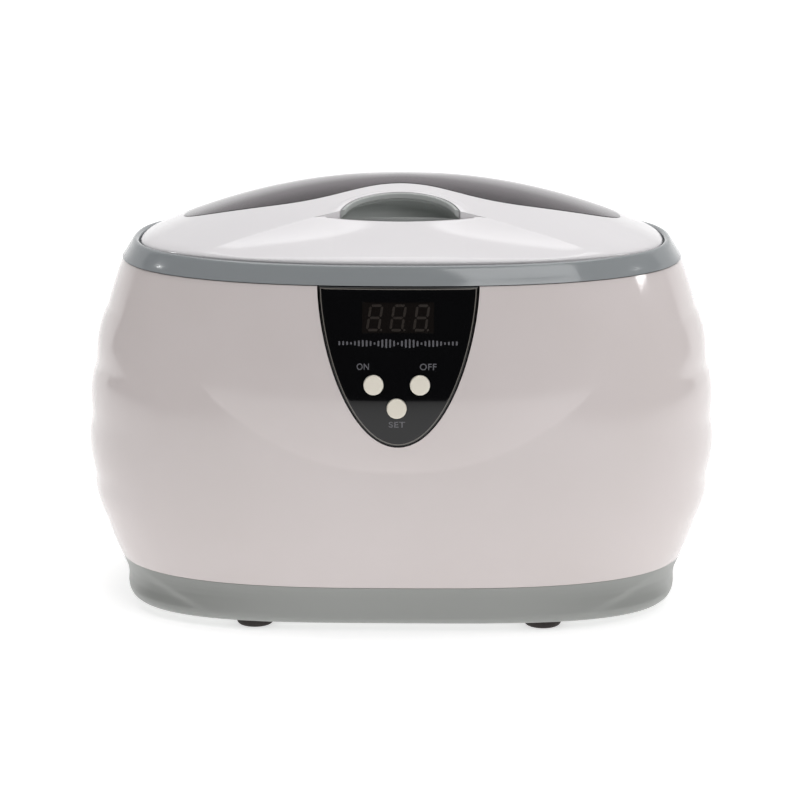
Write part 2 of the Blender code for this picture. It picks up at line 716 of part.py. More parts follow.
def build_tank(steel, silicone):
    """The pressed tank, and the gasket between its flange and the collar."""
    sides = 44
    half_x, half_y = TANK_HALF_X, TANK_HALF_Y
    inside = [
        (4.0, 4.0, 2.0, TANK_FLOOR_Z), (half_x - 12, half_y - 12, 3.2, TANK_FLOOR_Z),
        (half_x - 6.5, half_y - 6.5, 3.8, TANK_FLOOR_Z + 1.8), (half_x - 3, half_y - 3, 4.2, 65.0),
        (half_x - 1.2, half_y - 1.2, TANK_POWER, TANK_RIM_Z - 2.0),
        (half_x, half_y, TANK_POWER, TANK_RIM_Z),
    ]
    flange = [(half_x + 4, half_y + 4, TANK_POWER, TANK_RIM_Z),
              (half_x + 4, half_y + 4, TANK_POWER, TANK_RIM_Z - TANK_SHEET)]
    outside = [
        (half_x - 0.2, half_y - 0.2, TANK_POWER, TANK_RIM_Z - TANK_SHEET),
        (half_x - 0.4, half_y - 0.4, TANK_POWER, TANK_RIM_Z - 2.4),
        (half_x - 2.2, half_y - 2.2, 4.2, 64.7),
        (half_x - 5.9, half_y - 5.9, 3.8, TANK_FLOOR_Z + 1.2),
        (half_x - 12, half_y - 12, 3.2, TANK_FLOOR_Z - TANK_SHEET),
        (4.0, 4.0, 2.0, TANK_FLOOR_Z - TANK_SHEET),
    ]
    rows = inside + flange + outside
    loft("tank", [level_ring(*row, sides) for row in rows], steel, smooth=30)
    low, high = TANK_RIM_Z + GAP, COLLAR_BOTTOM_Z - GAP
    seal = [(half_x + 1.2, half_y + 1.2, TANK_POWER, low), (half_x + 3.6, half_y + 3.6, TANK_POWER, low),
            (half_x + 3.6, half_y + 3.6, TANK_POWER, high), (half_x + 1.2, half_y + 1.2, TANK_POWER, high)]
    loft("tank_gasket", [level_ring(*row, 36) for row in seal], silicone, closed_profile=True)


def build_transducer(aluminium, ceramic, steel, copper):
    """The bolted transducer stack bonded under the tank, from the horn down to the bolt head."""
    z = HORN_TOP_Z
    horn = [(22.5, z), (22.5, z - 4), (17.0, z - 16), (4.3, z - 16), (4.3, z - 8)]
    turned("transducer_horn", horn, aluminium, 20)
    z -= 16 + GAP
    for name, height, material in (("piezo_upper", 4.8, ceramic), ("electrode_upper", 0.4, copper),
                                   ("piezo_lower", 4.8, ceramic), ("electrode_lower", 0.4, copper),
                                   ("transducer_back_mass", 9.5, steel)):
        outer = PIEZO_RADIUS if material is not copper else PIEZO_RADIUS - 0.6
        ring = [(outer, z), (outer, z - height), (PIEZO_BORE, z - height), (PIEZO_BORE, z)]
        turned(name, ring, material, 16, hollow=True)
        z -= height + GAP
    bolt_top = HORN_TOP_Z - 9
    bolt = [(3.9, bolt_top), (3.9, z), (8.0, z), (8.0, z - 6.5), (7.0, z - 7.5), (3.5, z - 7.5),
            (3.5, z - 3.0)]
    turned("transducer_bolt", bolt, steel, 12)


def build_driver_board(mats, guide):
    """The power board beside the transducer, with its large components."""
    top = BOARD_BOTTOM_Z + BOARD_THICKNESS
    seat = top + GAP
    board = block("driver_board", (*BOARD_MIN, BOARD_BOTTOM_Z), (*BOARD_MAX, top), mats["board"])
    holes = [turned("board_hole", [(1.5, 10.0), (1.5, 20.0)], guide, 8, spot)
             for spot in board_screw_places()]
    combine(board, merge_bodies("driver_board_holes", holes), "DIFFERENCE")
    cap = turned("bulk_capacitor", [(8.2, seat), (8.2, seat + 20), (7.6, seat + 21)], mats["sleeve"], 18)
    cap.location = Vector((48.0, -18.0, 0.0)) * MM
    block("film_capacitor", (58.0, -28.0, seat), (76.0, -20.0, seat + 11), mats["film"], bevel=0.8)
    spool = [(9.0, seat), (9.0, seat + 2), (4.5, seat + 2), (4.5, seat + 12), (9.0, seat + 12),
             (9.0, seat + 14)]
    core = turned("inductor_core", spool, mats["ferrite"], 14)
    wire = [(4.8, seat + 2.3), (8.6, seat + 2.3), (8.6, seat + 11.7), (4.8, seat + 11.7)]
    winding = turned("inductor_winding", wire, mats["copper"], 14, hollow=True)
    for part in (core, winding):
        part.location = Vector((70.0, -10.2, 0.0)) * MM
    build_heat_sink(seat, mats, guide)
    block("fuse", (39.0, -3.0, seat), (45.0, 17.0, seat + 6), mats["glass"], bevel=1.2)
    block("lead_connector", (48.0, 20.5, seat), (66.0, 28.5, seat + 8), mats["nylon"], bevel=0.5)


def build_heat_sink(seat, mats, guide):
    """A finned extrusion with one transistor on each of its flat ends."""
    fins = [(50.0, 4.0), (76.0, 4.0), (76.0, 6.2)]
    for i in range(6):
        x = 76.0 - i * 4.0
        fins += [(x, 15.0), (x - 1.6, 15.0), (x - 1.6, 6.2)]
        if i < 5:
            fins.append((x - 4.0, 6.2))
    fins.append((50.0, 6.2))
    prism("heat_sink", fins, seat, seat + 20.0, "Z", mats["sink"])
    for hand, x in (("left", 52.0), ("right", 64.5)):
        block(f"power_transistor_{hand}", (x, -0.7, seat + 1.0), (x + 10.0, 3.7, seat + 15.5),
              mats["package"], bevel=0.4)


def build_panel(mats, guide):
    """The fascia panel with its lens, and the buttons, switches and board behind it."""
    centre = (0.0, PANEL_CENTRE_Z)
    proud = -PANEL_PROUD
    deep = SHELL_WALL + 3 * GAP
    rings = [(None, proud), (-9.0, proud), (-0.8, proud), (0.0, proud + 0.5),
             (0.0, deep), (1.8, deep), (1.8, deep + 1.2), (-2.0, deep + 1.2),
             (-2.6, PANEL_THICKNESS), (None, PANEL_THICKNESS)]
    panel = front_slab("fascia_panel", panel_outline(0.0, 20), centre, rings, mats["black"])
    spot = (0.0, DISPLAY_Z)
    half_x, half_z = DISPLAY_HALF
    cutters = [prism("lens_hole", rounded_rectangle(half_x + GAP, half_z + GAP, 0.9, spot),
                     -80.0, -55.0, "Y", guide)]
    for name, (x, z) in BUTTON_PLACES.items():
        hole = turned("button_hole", [(BUTTON_RADIUS + GAP, 8.0), (BUTTON_RADIUS + GAP, -8.0)], guide, 18)
        seat = Vector((x, barrel_front_y(x, z) - PANEL_PROUD, z))
        hole.data.transform(Matrix.Translation(seat * MM)
                            @ Matrix.Rotation(math.pi / 2 - PANEL_TILT, 4, "X"))
        cutters.append(hole)
        build_button(name, seat, mats["button"])
    combine(panel, merge_bodies("panel_holes", cutters), "DIFFERENCE")
    lens = [(None, 0.0), (-1.6, 0.0), (0.0, 0.15), (0.0, 2.0), (-1.6, 2.0), (None, 2.0)]
    front_slab("display_lens", rounded_rectangle(half_x, half_z, 0.7, spot), spot, lens, mats["lens"])
    build_control_board(mats, guide)


def build_button(name, seat, material):
    """A domed cap whose flange bears on the panel's back, with a stem towards its switch."""
    back = PANEL_THICKNESS + PANEL_PROUD + 0.8
    profile = [(2.4, 1.3), (2.8, 0.9), (BUTTON_RADIUS, 0.3), (BUTTON_RADIUS, -back),
               (4.5, -back), (4.5, -back - 0.9), (1.6, -back - 0.9), (1.6, -6.5)]
    button = turned(name, profile, material, 18)
    button.rotation_euler = (math.pi / 2 - PANEL_TILT, 0.0, 0.0)
    button.location = seat * MM


def build_control_board(mats, guide):
    """The board behind the panel: all its pieces hang from one tilted empty."""
    datum = bpy.data.objects.new("panel_datum", None)
    z = BUTTON_PLACES["button_on"][1]
    datum.location = Vector((0.0, barrel_front_y(0.0, z) - PANEL_PROUD, z)) * MM
    datum.rotation_euler = (math.pi / 2 - PANEL_TILT, 0.0, 0.0)
    bpy.context.scene.collection.objects.link(datum)
    board = block("control_board", (-21.0, -14.7, -13.0), (21.0, 26.3, -11.4), mats["board"])
    display = block("display_module", (-11.6, 15.7, -11.1), (11.6, 25.3, -6.4), mats["package"], bevel=0.3)
    pieces = [board, display]
    for name, (x, height) in BUTTON_PLACES.items():
        along = (height - z) / math.cos(PANEL_TILT)
        switch = block(name.replace("button", "switch"), (x - 3.0, along - 3.0, -11.1),
                       (x + 3.0, along + 3.0, -8.2), mats["package"])
        nub = turned("nub", [(1.7, -9.0), (1.7, -7.3)], guide, 12, (x, along))
        nub.name = switch.name + "_nub"
        combine(switch, nub, "UNION")
        nub.parent = datum
        pieces.append(switch)
    for piece in pieces:
        piece.parent = datum


def build_inlet(black, brass, guide):
    """The figure-eight mains inlet low in the rear shell, with its two round pins."""
    flange_y = INLET_FACE_Y
    outline = rounded_rectangle(*INLET_HALF, 2.5, (0.0, INLET_Z))
    inlet = prism("mains_inlet", outline, flange_y - 15.0, flange_y, "Y", black)
    socket = rounded_rectangle(*SOCKET_HALF, 4.3, (0.0, INLET_Z), steps=6)
    cutter = prism("inlet_socket", socket, flange_y - SOCKET_DEPTH, flange_y + 5.0, "Y", guide)
    combine(inlet, cutter, "DIFFERENCE")
    step = math.tau / 12
    bores = []
    for hand, sx in (("left", -1), ("right", 1)):
        def ring(radius):
            return [(sx * INLET_PIN_X + radius * math.cos(i * step), INLET_Z + radius * math.sin(i * step))
                    for i in range(12)]
        prism(f"inlet_pin_{hand}", ring(INLET_PIN_RADIUS), flange_y - 20.0, flange_y - 2.5, "Y", brass)
        bores.append(prism("pin_bore", ring(INLET_PIN_RADIUS + GAP), flange_y - 18.0, flange_y - 8.0,
                           "Y", guide))
    combine(inlet, merge_bodies("inlet_bores", bores), "DIFFERENCE")


def build_leads(mats):
    """Internal wiring, held at both ends."""
    seat = BOARD_BOTTOM_Z + BOARD_THICKNESS
    mains = smooth_route([(2.0, 50.0, INLET_Z), (4.0, 46.0, 22.0), (18.0, 40.0, 13.0),
                          (34.0, 37.0, 12.0), (46.0, 36.0, 20.0), (55.0, 33.0, 30.0),
                          (57.0, 27.0, 31.0), (57.0, 24.5, seat + 8.9)], 3)
    tube("mains_lead", mains, 1.6, mats["black_wire"])
    drive = smooth_route([(20.6, 0.0, 34.6), (25.0, -2.0, 34.0), (29.0, -6.0, 28.0),
                          (33.0, -9.0, 23.0), (40.0, -9.0, 20.0), (43.0, -9.0, seat + 1.0)], 3)
    tube("transducer_lead", drive, 1.0, mats["red_wire"])
    ribbon = smooth_route([(16.0, -54.3, 72.0), (18.0, -51.5, 66.0), (22.0, -50.5, 54.0),
                           (28.0, -48.0, 36.0), (36.0, -43.0, 25.0), (45.0, -36.0, 25.0),
                           (51.0, -30.5, 21.0), (51.5, -29.5, seat + 1.0)], 3)
    tube("control_lead", ribbon, 1.3, mats["grey_wire"])


def build_materials():
    """One finish for each kind of piece; colours are linear."""
    table = {
        "white": ((0.53, 0.50, 0.49), 0.22, 0.0), "collar": ((0.24, 0.27, 0.28), 0.3, 0.0),
        "base": ((0.23, 0.24, 0.23), 0.35, 0.0), "grip": ((0.30, 0.32, 0.31), 0.4, 0.0),
        "black": ((0.01, 0.01, 0.01), 0.08, 0.0), "lens": ((0.02, 0.015, 0.012), 0.05, 0.0),
        "button": ((0.70, 0.67, 0.58), 0.35, 0.0), "steel": ((0.60, 0.60, 0.60), 0.25, 1.0),
        "silicone": ((0.65, 0.65, 0.62), 0.6, 0.0), "rubber": ((0.03, 0.025, 0.023), 0.8, 0.0),
        "aluminium": ((0.75, 0.75, 0.77), 0.35, 1.0), "ceramic": ((0.35, 0.30, 0.24), 0.5, 0.0),
        "copper": ((0.72, 0.33, 0.18), 0.3, 1.0), "board": ((0.05, 0.22, 0.09), 0.45, 0.0),
        "sleeve": ((0.03, 0.03, 0.05), 0.3, 0.0), "film": ((0.55, 0.35, 0.05), 0.4, 0.0),
        "ferrite": ((0.06, 0.06, 0.06), 0.6, 0.0), "sink": ((0.55, 0.55, 0.56), 0.45, 1.0),
        "package": ((0.02, 0.02, 0.02), 0.5, 0.0), "nylon": ((0.75, 0.73, 0.66), 0.5, 0.0),
        "glass": ((0.80, 0.82, 0.82), 0.1, 0.0), "inlet": ((0.02, 0.02, 0.02), 0.45, 0.0),
        "brass": ((0.75, 0.55, 0.20), 0.3, 1.0), "black_wire": ((0.02, 0.02, 0.02), 0.5, 0.0),
        "red_wire": ((0.55, 0.03, 0.02), 0.5, 0.0), "grey_wire": ((0.35, 0.35, 0.36), 0.5, 0.0),
        "guide": ((1.0, 0.0, 1.0), 0.5, 0.0),
    }
    mats = {name: make_material(name, *row) for name, row in table.items()}
    mats["smoke"] = make_material("smoke", (0.16, 0.13, 0.15), 0.08, 0.0, 0.75)
    return mats


def main():
    for old in list(bpy.data.objects):
        bpy.data.objects.remove(old)
    mats = build_materials()
    guide = mats["guide"]
    build_front_shell(mats["white"], guide)
    build_rear_shell(mats["white"], guide)
    build_base_tray(mats["base"], guide)
    build_feet(mats["rubber"])
    build_screws(mats["steel"])
    build_collar(mats["collar"], guide)
    build_hinge_pins(mats["steel"])
    build_lid(mats["white"], mats["smoke"], mats["grip"], guide)
    build_tank(mats["steel"], mats["silicone"])
    build_transducer(mats["aluminium"], mats["ceramic"], mats["steel"], mats["copper"])
    build_driver_board(mats, guide)
    build_panel(mats, guide)
    build_inlet(mats["inlet"], mats["brass"], guide)
    build_leads(mats)


main()
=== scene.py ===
# %% [markdown]
# # A benchtop ultrasonic cleaner
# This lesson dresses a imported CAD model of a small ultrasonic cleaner: a barrel-shaped housing of
# glossy white plastic, a grey collar and base, a white lid with a smoked window, and a black panel.
# The CAD gives places and motion. Here every visible skin is worked out again as a fine surface,
# and every piece gets a finish made of nodes.

# %% Load the frame
import math

import bmesh
import bpy
import numpy as np
from mathutils import Matrix, Vector


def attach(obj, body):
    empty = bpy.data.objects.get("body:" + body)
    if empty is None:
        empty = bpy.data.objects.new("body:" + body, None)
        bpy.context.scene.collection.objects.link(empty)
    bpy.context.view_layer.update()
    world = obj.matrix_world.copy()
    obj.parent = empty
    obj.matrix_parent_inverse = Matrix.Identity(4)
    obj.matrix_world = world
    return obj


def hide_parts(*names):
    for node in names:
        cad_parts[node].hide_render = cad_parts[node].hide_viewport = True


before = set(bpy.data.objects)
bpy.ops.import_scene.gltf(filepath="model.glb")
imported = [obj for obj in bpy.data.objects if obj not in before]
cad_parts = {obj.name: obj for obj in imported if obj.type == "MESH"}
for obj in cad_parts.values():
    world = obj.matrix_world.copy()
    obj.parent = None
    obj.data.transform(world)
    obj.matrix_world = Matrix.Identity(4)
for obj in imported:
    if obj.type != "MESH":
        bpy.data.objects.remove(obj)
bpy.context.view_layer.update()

MM = 0.001

# %% [markdown]
# ## Driving sizes
# All lengths are in millimetres. The housing is a barrel: each level is a superellipse, a rounded
# shape between an ellipse and a rectangle, and its half width follows two arcs.

# %% Sizes of the housing, collar and base
HALF_WIDTH, WIDEST_Z = 103.9, 55.0
ARC_UPPER, ARC_LOWER = 156.0, 95.0
DEPTH_RATIO = 0.70
SHELL_BOTTOM, SHELL_TOP, SHELL_WALL = 15.2, 112.65, 2.4
POWER_BOTTOM, POWER_TOP = 2.9, 2.39
NOTCHES = (96.5, 78.0, 61.0, 41.5, 27.0)      # the side ripples meet at these heights
RIPPLE_RISE, RIPPLE_REACH = 1.1, math.radians(50)
BROW_RISE, BROW_LOW, BROW_LIFT, BROW_WIDTH = 1.9, 54.8, 31.3, 68.3
BASE_BOTTOM, BASE_TOP = 2.5, 15.1
COLLAR_BOTTOM, COLLAR_TOP, COLLAR_LEDGE = 112.95, 118.9, 115.4
FOOT_X, FOOT_Y = 46.6, 55.0
SCREW_X, SCREW_Y = 70.0, 38.0
print("housing", 2 * HALF_WIDTH, "mm wide")

# %% Sizes of the lid and the panel
LID_X, LID_Y, LID_RIM, LID_RISE, LID_WALL = 86.9, 60.8, 118.6, 20.2, 2.0
WINDOW_X, WINDOW_Y, WINDOW_FRONT, WINDOW_REAR, WINDOW_POWER = 73.0, 2.0, 31.0, 42.0, 2.2
DIP_DEPTH, DIP_WIDTH = 16.0, 22.0
GRIP_Y, GRIP_X, GRIP_DEEP, ARCH_POWER = -38.7, 20.0, 14.9, 1.9
LEDGE_Y, FAN_DEPTH, HUMP_RISE, BRIM_RISE = -35.8, 2.8, 0.8, 1.6
HINGE_X, HINGE_Y, HINGE_Z, HINGE_EYE, HINGE_BORE = 34.0, 66.5, 122.4, 3.4, 1.8
PANEL_X, PANEL_TIP, PANEL_TOP, PANEL_MID = 25.1, 63.5, 112.6, 93.0
PANEL_PROUD = 0.4
TILT, BUTTON_HOLE = math.radians(6), 3.25
BUTTONS = {"on": (-7.6, 83.1), "off": (6.9, 83.1), "set": (-0.35, 75.8)}
DISPLAY_Z, DISPLAY_X, DISPLAY_TALL = 103.5, 11.2, 4.6
print("lid", 2 * LID_X, "by", 2 * LID_Y, "mm")

# %% [markdown]
# ## From grids of points to meshes
# A surface is a grid of points: rows by columns by three coordinates. `put` writes one into Blender,
# merges the points that meet at poles and seams, and turns every face outwards. Closed rings,
# thick sheets and turned pieces are all grids whose rows or columns meet their own start.

# %% Write a mesh
def shown(name, data):
    """An object that carries this mesh, light or camera, linked into the scene."""
    carrier = bpy.data.objects.new(name, data)
    bpy.context.scene.collection.objects.link(carrier)
    return carrier


def sealed(mesh):
    """Merge the points that coincide and turn every face outwards."""
    work = bmesh.new()
    work.from_mesh(mesh)
    bmesh.ops.remove_doubles(work, verts=work.verts, dist=1e-7)
    bmesh.ops.recalc_face_normals(work, faces=work.faces)
    work.to_mesh(mesh)
    work.free()
    return mesh


def put(name, points, faces, sharp=32):
    """Points in millimetres and faces as index lists become a smooth mesh object at the origin."""
    mesh = bpy.data.meshes.new(name)
    mesh.from_pydata(np.asarray(points, float).reshape(-1, 3) * MM, [], faces)
    piece = shown(name, sealed(mesh))
    smooth(piece, sharp)
    return piece


def smooth(piece, sharp=32):
    """Shade a piece smooth, but keep edges that turn by more than this angle crisp."""
    piece.data.shade_smooth()
    piece.data.set_sharp_from_angle(angle=math.radians(sharp))


def quads(index, wrap_rows=False, wrap_columns=False):
    """The four-sided faces of a grid of point numbers, closed along either direction if asked."""
    if wrap_rows:
        index = np.vstack([index, index[:1]])
    if wrap_columns:
        index = np.hstack([index, index[:, :1]])
    corners = (index[:-1, :-1], index[:-1, 1:], index[1:, 1:], index[1:, :-1])
    return np.stack([c.ravel() for c in corners], axis=1).tolist()


def numbered(grid):
    """The number of each point of a grid, laid out as the grid is."""
    return np.arange(grid.shape[0] * grid.shape[1]).reshape(grid.shape[:2])


def hoop(name, grid, sharp=32):
    """A grid closed both ways, like a ring whose section is the column of points."""
    return put(name, grid, quads(numbered(grid), True, True), sharp)


def capped(name, grid, sharp=32):
    """A grid whose rows are closed loops; the first and the last loop are filled."""
    index = numbered(grid)
    faces = quads(index, False, True) + [index[0].tolist(), index[-1].tolist()]
    return put(name, grid, faces, sharp)


def thick_sheet(name, outer, inner, sharp=32):
    """Two matching open grids, joined round all four edges into one closed skin."""
    index = numbered(outer)
    below = index + index.size
    faces = quads(index) + quads(below)
    for a, b in ((index[0], below[0]), (index[-1], below[-1]),
                 (index[:, 0], below[:, 0]), (index[:, -1], below[:, -1])):
        faces += quads(np.stack([a, b]))
    return put(name, np.concatenate([outer.reshape(-1, 3), inner.reshape(-1, 3)]), faces, sharp)


print("mesh helpers ready")

# %% Cut and join finished meshes
def boolean(piece, other, operation="DIFFERENCE", sharp=40):
    """Cut one closed mesh by another, or join them, and keep only the result."""
    step = piece.modifiers.new(operation, "BOOLEAN")
    step.operation, step.solver, step.object = operation, "MANIFOLD", other
    shaped = piece.evaluated_get(bpy.context.evaluated_depsgraph_get())
    mesh = bpy.data.meshes.new_from_object(shaped)
    piece.modifiers.clear()
    piece.data = mesh
    bpy.data.objects.remove(other)
    smooth(piece, sharp)


def merged(name, pieces):
    """Several closed meshes in one object, as one cutter or one printed line."""
    work = bmesh.new()
    for piece in pieces:
        work.from_mesh(piece.data)
        bpy.data.objects.remove(piece)
    mesh = bpy.data.meshes.new(name)
    work.to_mesh(mesh)
    work.free()
    return shown(name, mesh)


print("boolean helpers ready")

# %% Curves and outlines
def ellipse_like(half_x, half_y, power, angle):
    """Superellipse: the ray at each angle is cut where |x/a|^p + |y/b|^p = 1."""
    c, s = np.cos(angle), np.sin(angle)
    reach = (np.abs(c) ** power + np.abs(s) ** power) ** (-1 / power)
    return half_x * reach * c, half_y * reach * s


def turns(count):
    """Evenly spaced angles once round a circle."""
    return np.arange(count) * math.tau / count


def level_rings(rows, count):
    """Rows of (half x, half y, power, z) become a grid of level superellipses."""
    rows = np.asarray(rows, float)[:, :, None]
    x, y = ellipse_like(rows[:, 0], rows[:, 1], rows[:, 2], turns(count)[None])
    return np.stack([x, y, rows[:, 3] + 0 * x], axis=-1)


def turned(name, profile, count=64, sharp=32):
    """A profile of (radius, height) points spun round Z."""
    profile = np.asarray(profile, float)
    angle = turns(count)
    grid = np.stack([profile[:, :1] * np.cos(angle), profile[:, :1] * np.sin(angle),
                     profile[:, 1:] + 0 * angle], axis=-1)
    return capped(name, grid, sharp)


def arc(centre, radius, start, end, count):
    """Points on a circular arc, angles in degrees."""
    a = np.radians(np.linspace(start, end, count))
    return np.stack([centre[0] + radius * np.cos(a), centre[1] + radius * np.sin(a)], axis=1)


def rounded_box(half_x, half_z, radius, centre, steps=6):
    """A rectangle outline whose corners are quarter circles."""
    corners = [arc((centre[0] + sx * (half_x - radius), centre[1] + sz * (half_z - radius)), radius,
                   start, start + 90, steps)
               for sx, sz, start in ((1, 1, 0), (-1, 1, 90), (-1, -1, 180), (1, -1, 270))]
    return np.concatenate(corners)


def inset(outline, distance):
    """Move each point of an outline inwards, along the bisector of its two edges."""
    back = outline - np.roll(outline, 1, axis=0)
    ahead = np.roll(outline, -1, axis=0) - outline
    along = (back / np.linalg.norm(back, axis=1, keepdims=True)
             + ahead / np.linalg.norm(ahead, axis=1, keepdims=True))
    normal = np.stack([-along[:, 1], along[:, 0]], axis=1)
    normal /= np.linalg.norm(normal, axis=1, keepdims=True)
    x, z = outline.T
    twice_area = np.sum(x * np.roll(z, -1) - np.roll(x, -1) * z)
    return outline + normal * distance * np.sign(twice_area)


def prism(name, outline, low, high, axis="Y", round_edge=0.0):
    """An outline pushed along an axis, with its two rims rounded by one small step."""
    outline = np.asarray(outline, float)
    rows = [(low, round_edge), (low + round_edge, 0.0), (high - round_edge, 0.0), (high, round_edge)]
    if not round_edge:
        rows = [(low, 0.0), (high, 0.0)]
    loops = []
    for along, shrink in rows:
        flat = inset(outline, shrink) if shrink else outline
        column = np.full(len(flat), along)
        order = {"X": (column, flat[:, 0], flat[:, 1]), "Y": (flat[:, 0], column, flat[:, 1]),
                 "Z": (flat[:, 0], flat[:, 1], column)}[axis]
        loops.append(np.stack(order, axis=1))
    return capped(name, np.stack(loops))


print("outline helpers ready")

# %% [markdown]
# ## Finishes
# Each finish starts from the real material and how its surface was made. Colours are written as
# the hex values a screen shows and turned to linear light by one function. Patterns read Object
# coordinates in metres, so their scale comes straight from a size in millimetres.

# %% Colours and nodes
def linear(colour):
    """sRGB hex to linear RGBA: each channel is undone by the sRGB curve."""
    parts = np.array([int(colour[i:i + 2], 16) for i in (1, 3, 5)]) / 255
    straight = np.where(parts <= 0.04045, parts / 12.92, ((parts + 0.055) / 1.055) ** 2.4)
    return (*straight.tolist(), 1.0)


def add(tree, kind, inputs=None, **settings):
    """Add a shader node, set its options, and fill or link its inputs."""
    made = tree.nodes.new("ShaderNode" + kind)
    for key, value in settings.items():
        setattr(made, key, value)
    for key, value in (inputs or {}).items():
        if isinstance(value, bpy.types.NodeSocket):
            tree.links.new(value, made.inputs[key])
        else:
            made.inputs[key].default_value = value
    return made


def finish(name, **sockets):
    """A new material, its tree, its Principled shader and an Object coordinate socket."""
    material = bpy.data.materials.new(name)
    material.use_nodes = True
    tree = material.node_tree
    shader = tree.nodes["Principled BSDF"]
    for key, value in sockets.items():
        shader.inputs[key.replace("_", " ")].default_value = value
    spot = add(tree, "TexCoord").outputs["Object"]
    return material, tree, shader, spot


def per_metre(size_mm):
    """Pattern scale for features of this size."""
    return 1 / (size_mm * MM)


def grain(tree, spot, size_mm, stretch=(1, 1, 1), detail=3.0):
    """Soft random variation whose lumps are about this many millimetres across."""
    moved = add(tree, "Mapping", {"Vector": spot, "Scale": stretch}).outputs[0]
    noise = {"Vector": moved, "Scale": per_metre(size_mm), "Detail": detail}
    return add(tree, "TexNoise", noise).outputs["Fac"]


def spread(tree, value, low, high):
    """Map a 0 to 1 pattern onto a narrower band."""
    return add(tree, "MapRange", {"Value": value, "From Min": 0.25, "From Max": 0.75,
                                  "To Min": low, "To Max": high}).outputs[0]


def two_tone(tree, shader, share, colour, shade):
    """Colour the surface with two tones, shared out by a pattern."""
    tint = add(tree, "Mix", {0: share, 6: linear(colour), 7: linear(shade)}, data_type="RGBA")
    tree.links.new(tint.outputs[2], shader.inputs["Base Color"])


def raised(tree, shader, height, strength, reach_mm):
    """Let a pattern stand up to this far out of the surface."""
    bump = add(tree, "Bump", {"Height": height, "Strength": strength, "Distance": reach_mm * MM})
    tree.links.new(bump.outputs[0], shader.inputs["Normal"])


print("white is", linear("#ffffff"))

# %% [markdown]
# Injection-moulded ABS is the main material. A polished mould leaves a gloss with a faint orange
# peel, a ripple a couple of millimetres across; a spark-eroded mould leaves a fine satin grain.
# Both are one recipe with different sizes. The base colour wanders by a shade or two, as it does
# where pigment and flow lines vary.

# %% Moulded plastics
def moulded(name, colour, shade, roughness, peel_mm, peel, ior=1.53):
    """Moulded plastic: two near colours mixed by slow cloud, roughness by fine cloud, bump by peel."""
    material, tree, shader, spot = finish(name, IOR=ior)
    cloud = spread(tree, grain(tree, spot, 45.0), 0.0, 1.0)
    two_tone(tree, shader, cloud, colour, shade)
    fine = grain(tree, spot, 6.0)
    tree.links.new(spread(tree, fine, roughness * 0.85, roughness * 1.15), shader.inputs["Roughness"])
    raised(tree, shader, grain(tree, spot, peel_mm, detail=2.0), peel, 0.02)
    return material


WHITE = moulded("gloss_white_abs_moulded", "#e3dad9", "#dfd6d4", 0.10, 2.4, 0.15)
LID_WHITE = moulded("gloss_white_abs_lid", "#f0edef", "#edeaec", 0.13, 2.4, 0.15)
COLLAR_GREY = moulded("blue_grey_abs_moulded", "#979b9d", "#93979a", 0.12, 2.0, 0.25)
BASE_GREY = moulded("grey_abs_satin", "#a3a5a2", "#9fa19e", 0.38, 0.6, 0.30)
GRIP_GREY = moulded("grey_abs_grip", "#b8bbb9", "#b3b6b4", 0.36, 0.6, 0.30)
BUTTON_CREAM = moulded("cream_abs_buttons", "#f6f0e2", "#f2ebdc", 0.34, 0.5, 0.25)
PANEL_BLACK = moulded("piano_black_acrylic", "#060607", "#08080a", 0.05, 6.0, 0.05, ior=1.49)
LENS_BLACK = moulded("smoked_acrylic_lens", "#120f0e", "#15110f", 0.05, 6.0, 0.05, ior=1.49)
INLET_BLACK = moulded("black_nylon_moulded", "#1b1b1c", "#202021", 0.42, 0.5, 0.4)
NYLON = moulded("natural_nylon_moulded", "#dcd7c8", "#d6d0bf", 0.45, 0.5, 0.3)
PACKAGE = moulded("black_epoxy_package", "#171717", "#1d1d1d", 0.5, 0.3, 0.5)
FILM = moulded("dipped_epoxy_film_capacitor", "#b98a2a", "#ad7f22", 0.28, 1.5, 0.5)
SLEEVE = moulded("pvc_sleeve_capacitor", "#1a1c2b", "#202238", 0.3, 3.0, 0.3)
INK = moulded("screen_printed_grey_ink", "#626166", "#68676c", 0.35, 0.3, 0.3)
# Painted highlight: a pale grey for the light caught along the black panel's rounded edge.
PAINTED_EDGE_HIGHLIGHT = moulded("painted_edge_highlight", "#77736e", "#716d68", 0.06, 4.0, 0.05)
UNLIT = moulded("unlit_display_segments", "#2b2623", "#302a26", 0.30, 0.5, 0.2)
print("moulded finishes:", len(bpy.data.materials))

# %% [markdown]
# Rubber, silicone and wire sleeves are matt: light scatters in a fine, even tooth. Ferrite and
# fired ceramic look the same way but harder. They share the recipe with a stronger, finer bump.

# %% Matt materials
def matt(name, colour, shade, roughness, tooth_mm, tooth):
    """A dull surface: two near colours in small patches and a fine tooth as bump."""
    material, tree, shader, spot = finish(name, Roughness=roughness)
    patch = spread(tree, grain(tree, spot, 4.0, detail=5.0), 0.0, 1.0)
    two_tone(tree, shader, patch, colour, shade)
    raised(tree, shader, grain(tree, spot, tooth_mm), tooth, 0.05)
    return material


RUBBER = matt("moulded_rubber_feet", "#2e2826", "#393230", 0.68, 0.4, 0.6)
SILICONE = matt("cured_silicone_seal", "#cfcec6", "#c6c5bc", 0.55, 0.6, 0.4)
CERAMIC = matt("fired_piezo_ceramic", "#8d8578", "#9a9184", 0.5, 0.3, 0.4)
FERRITE = matt("pressed_ferrite", "#2b2b2c", "#343436", 0.6, 0.3, 0.6)
BLACK_WIRE = matt("black_pvc_sleeve", "#181818", "#1f1f1f", 0.45, 0.5, 0.3)
RED_WIRE = matt("red_silicone_sleeve", "#8f1611", "#9b1d17", 0.5, 0.5, 0.3)
GREY_WIRE = matt("grey_pvc_sleeve", "#7d7e80", "#85868a", 0.5, 0.5, 0.3)
print("matt finishes:", len(bpy.data.materials))

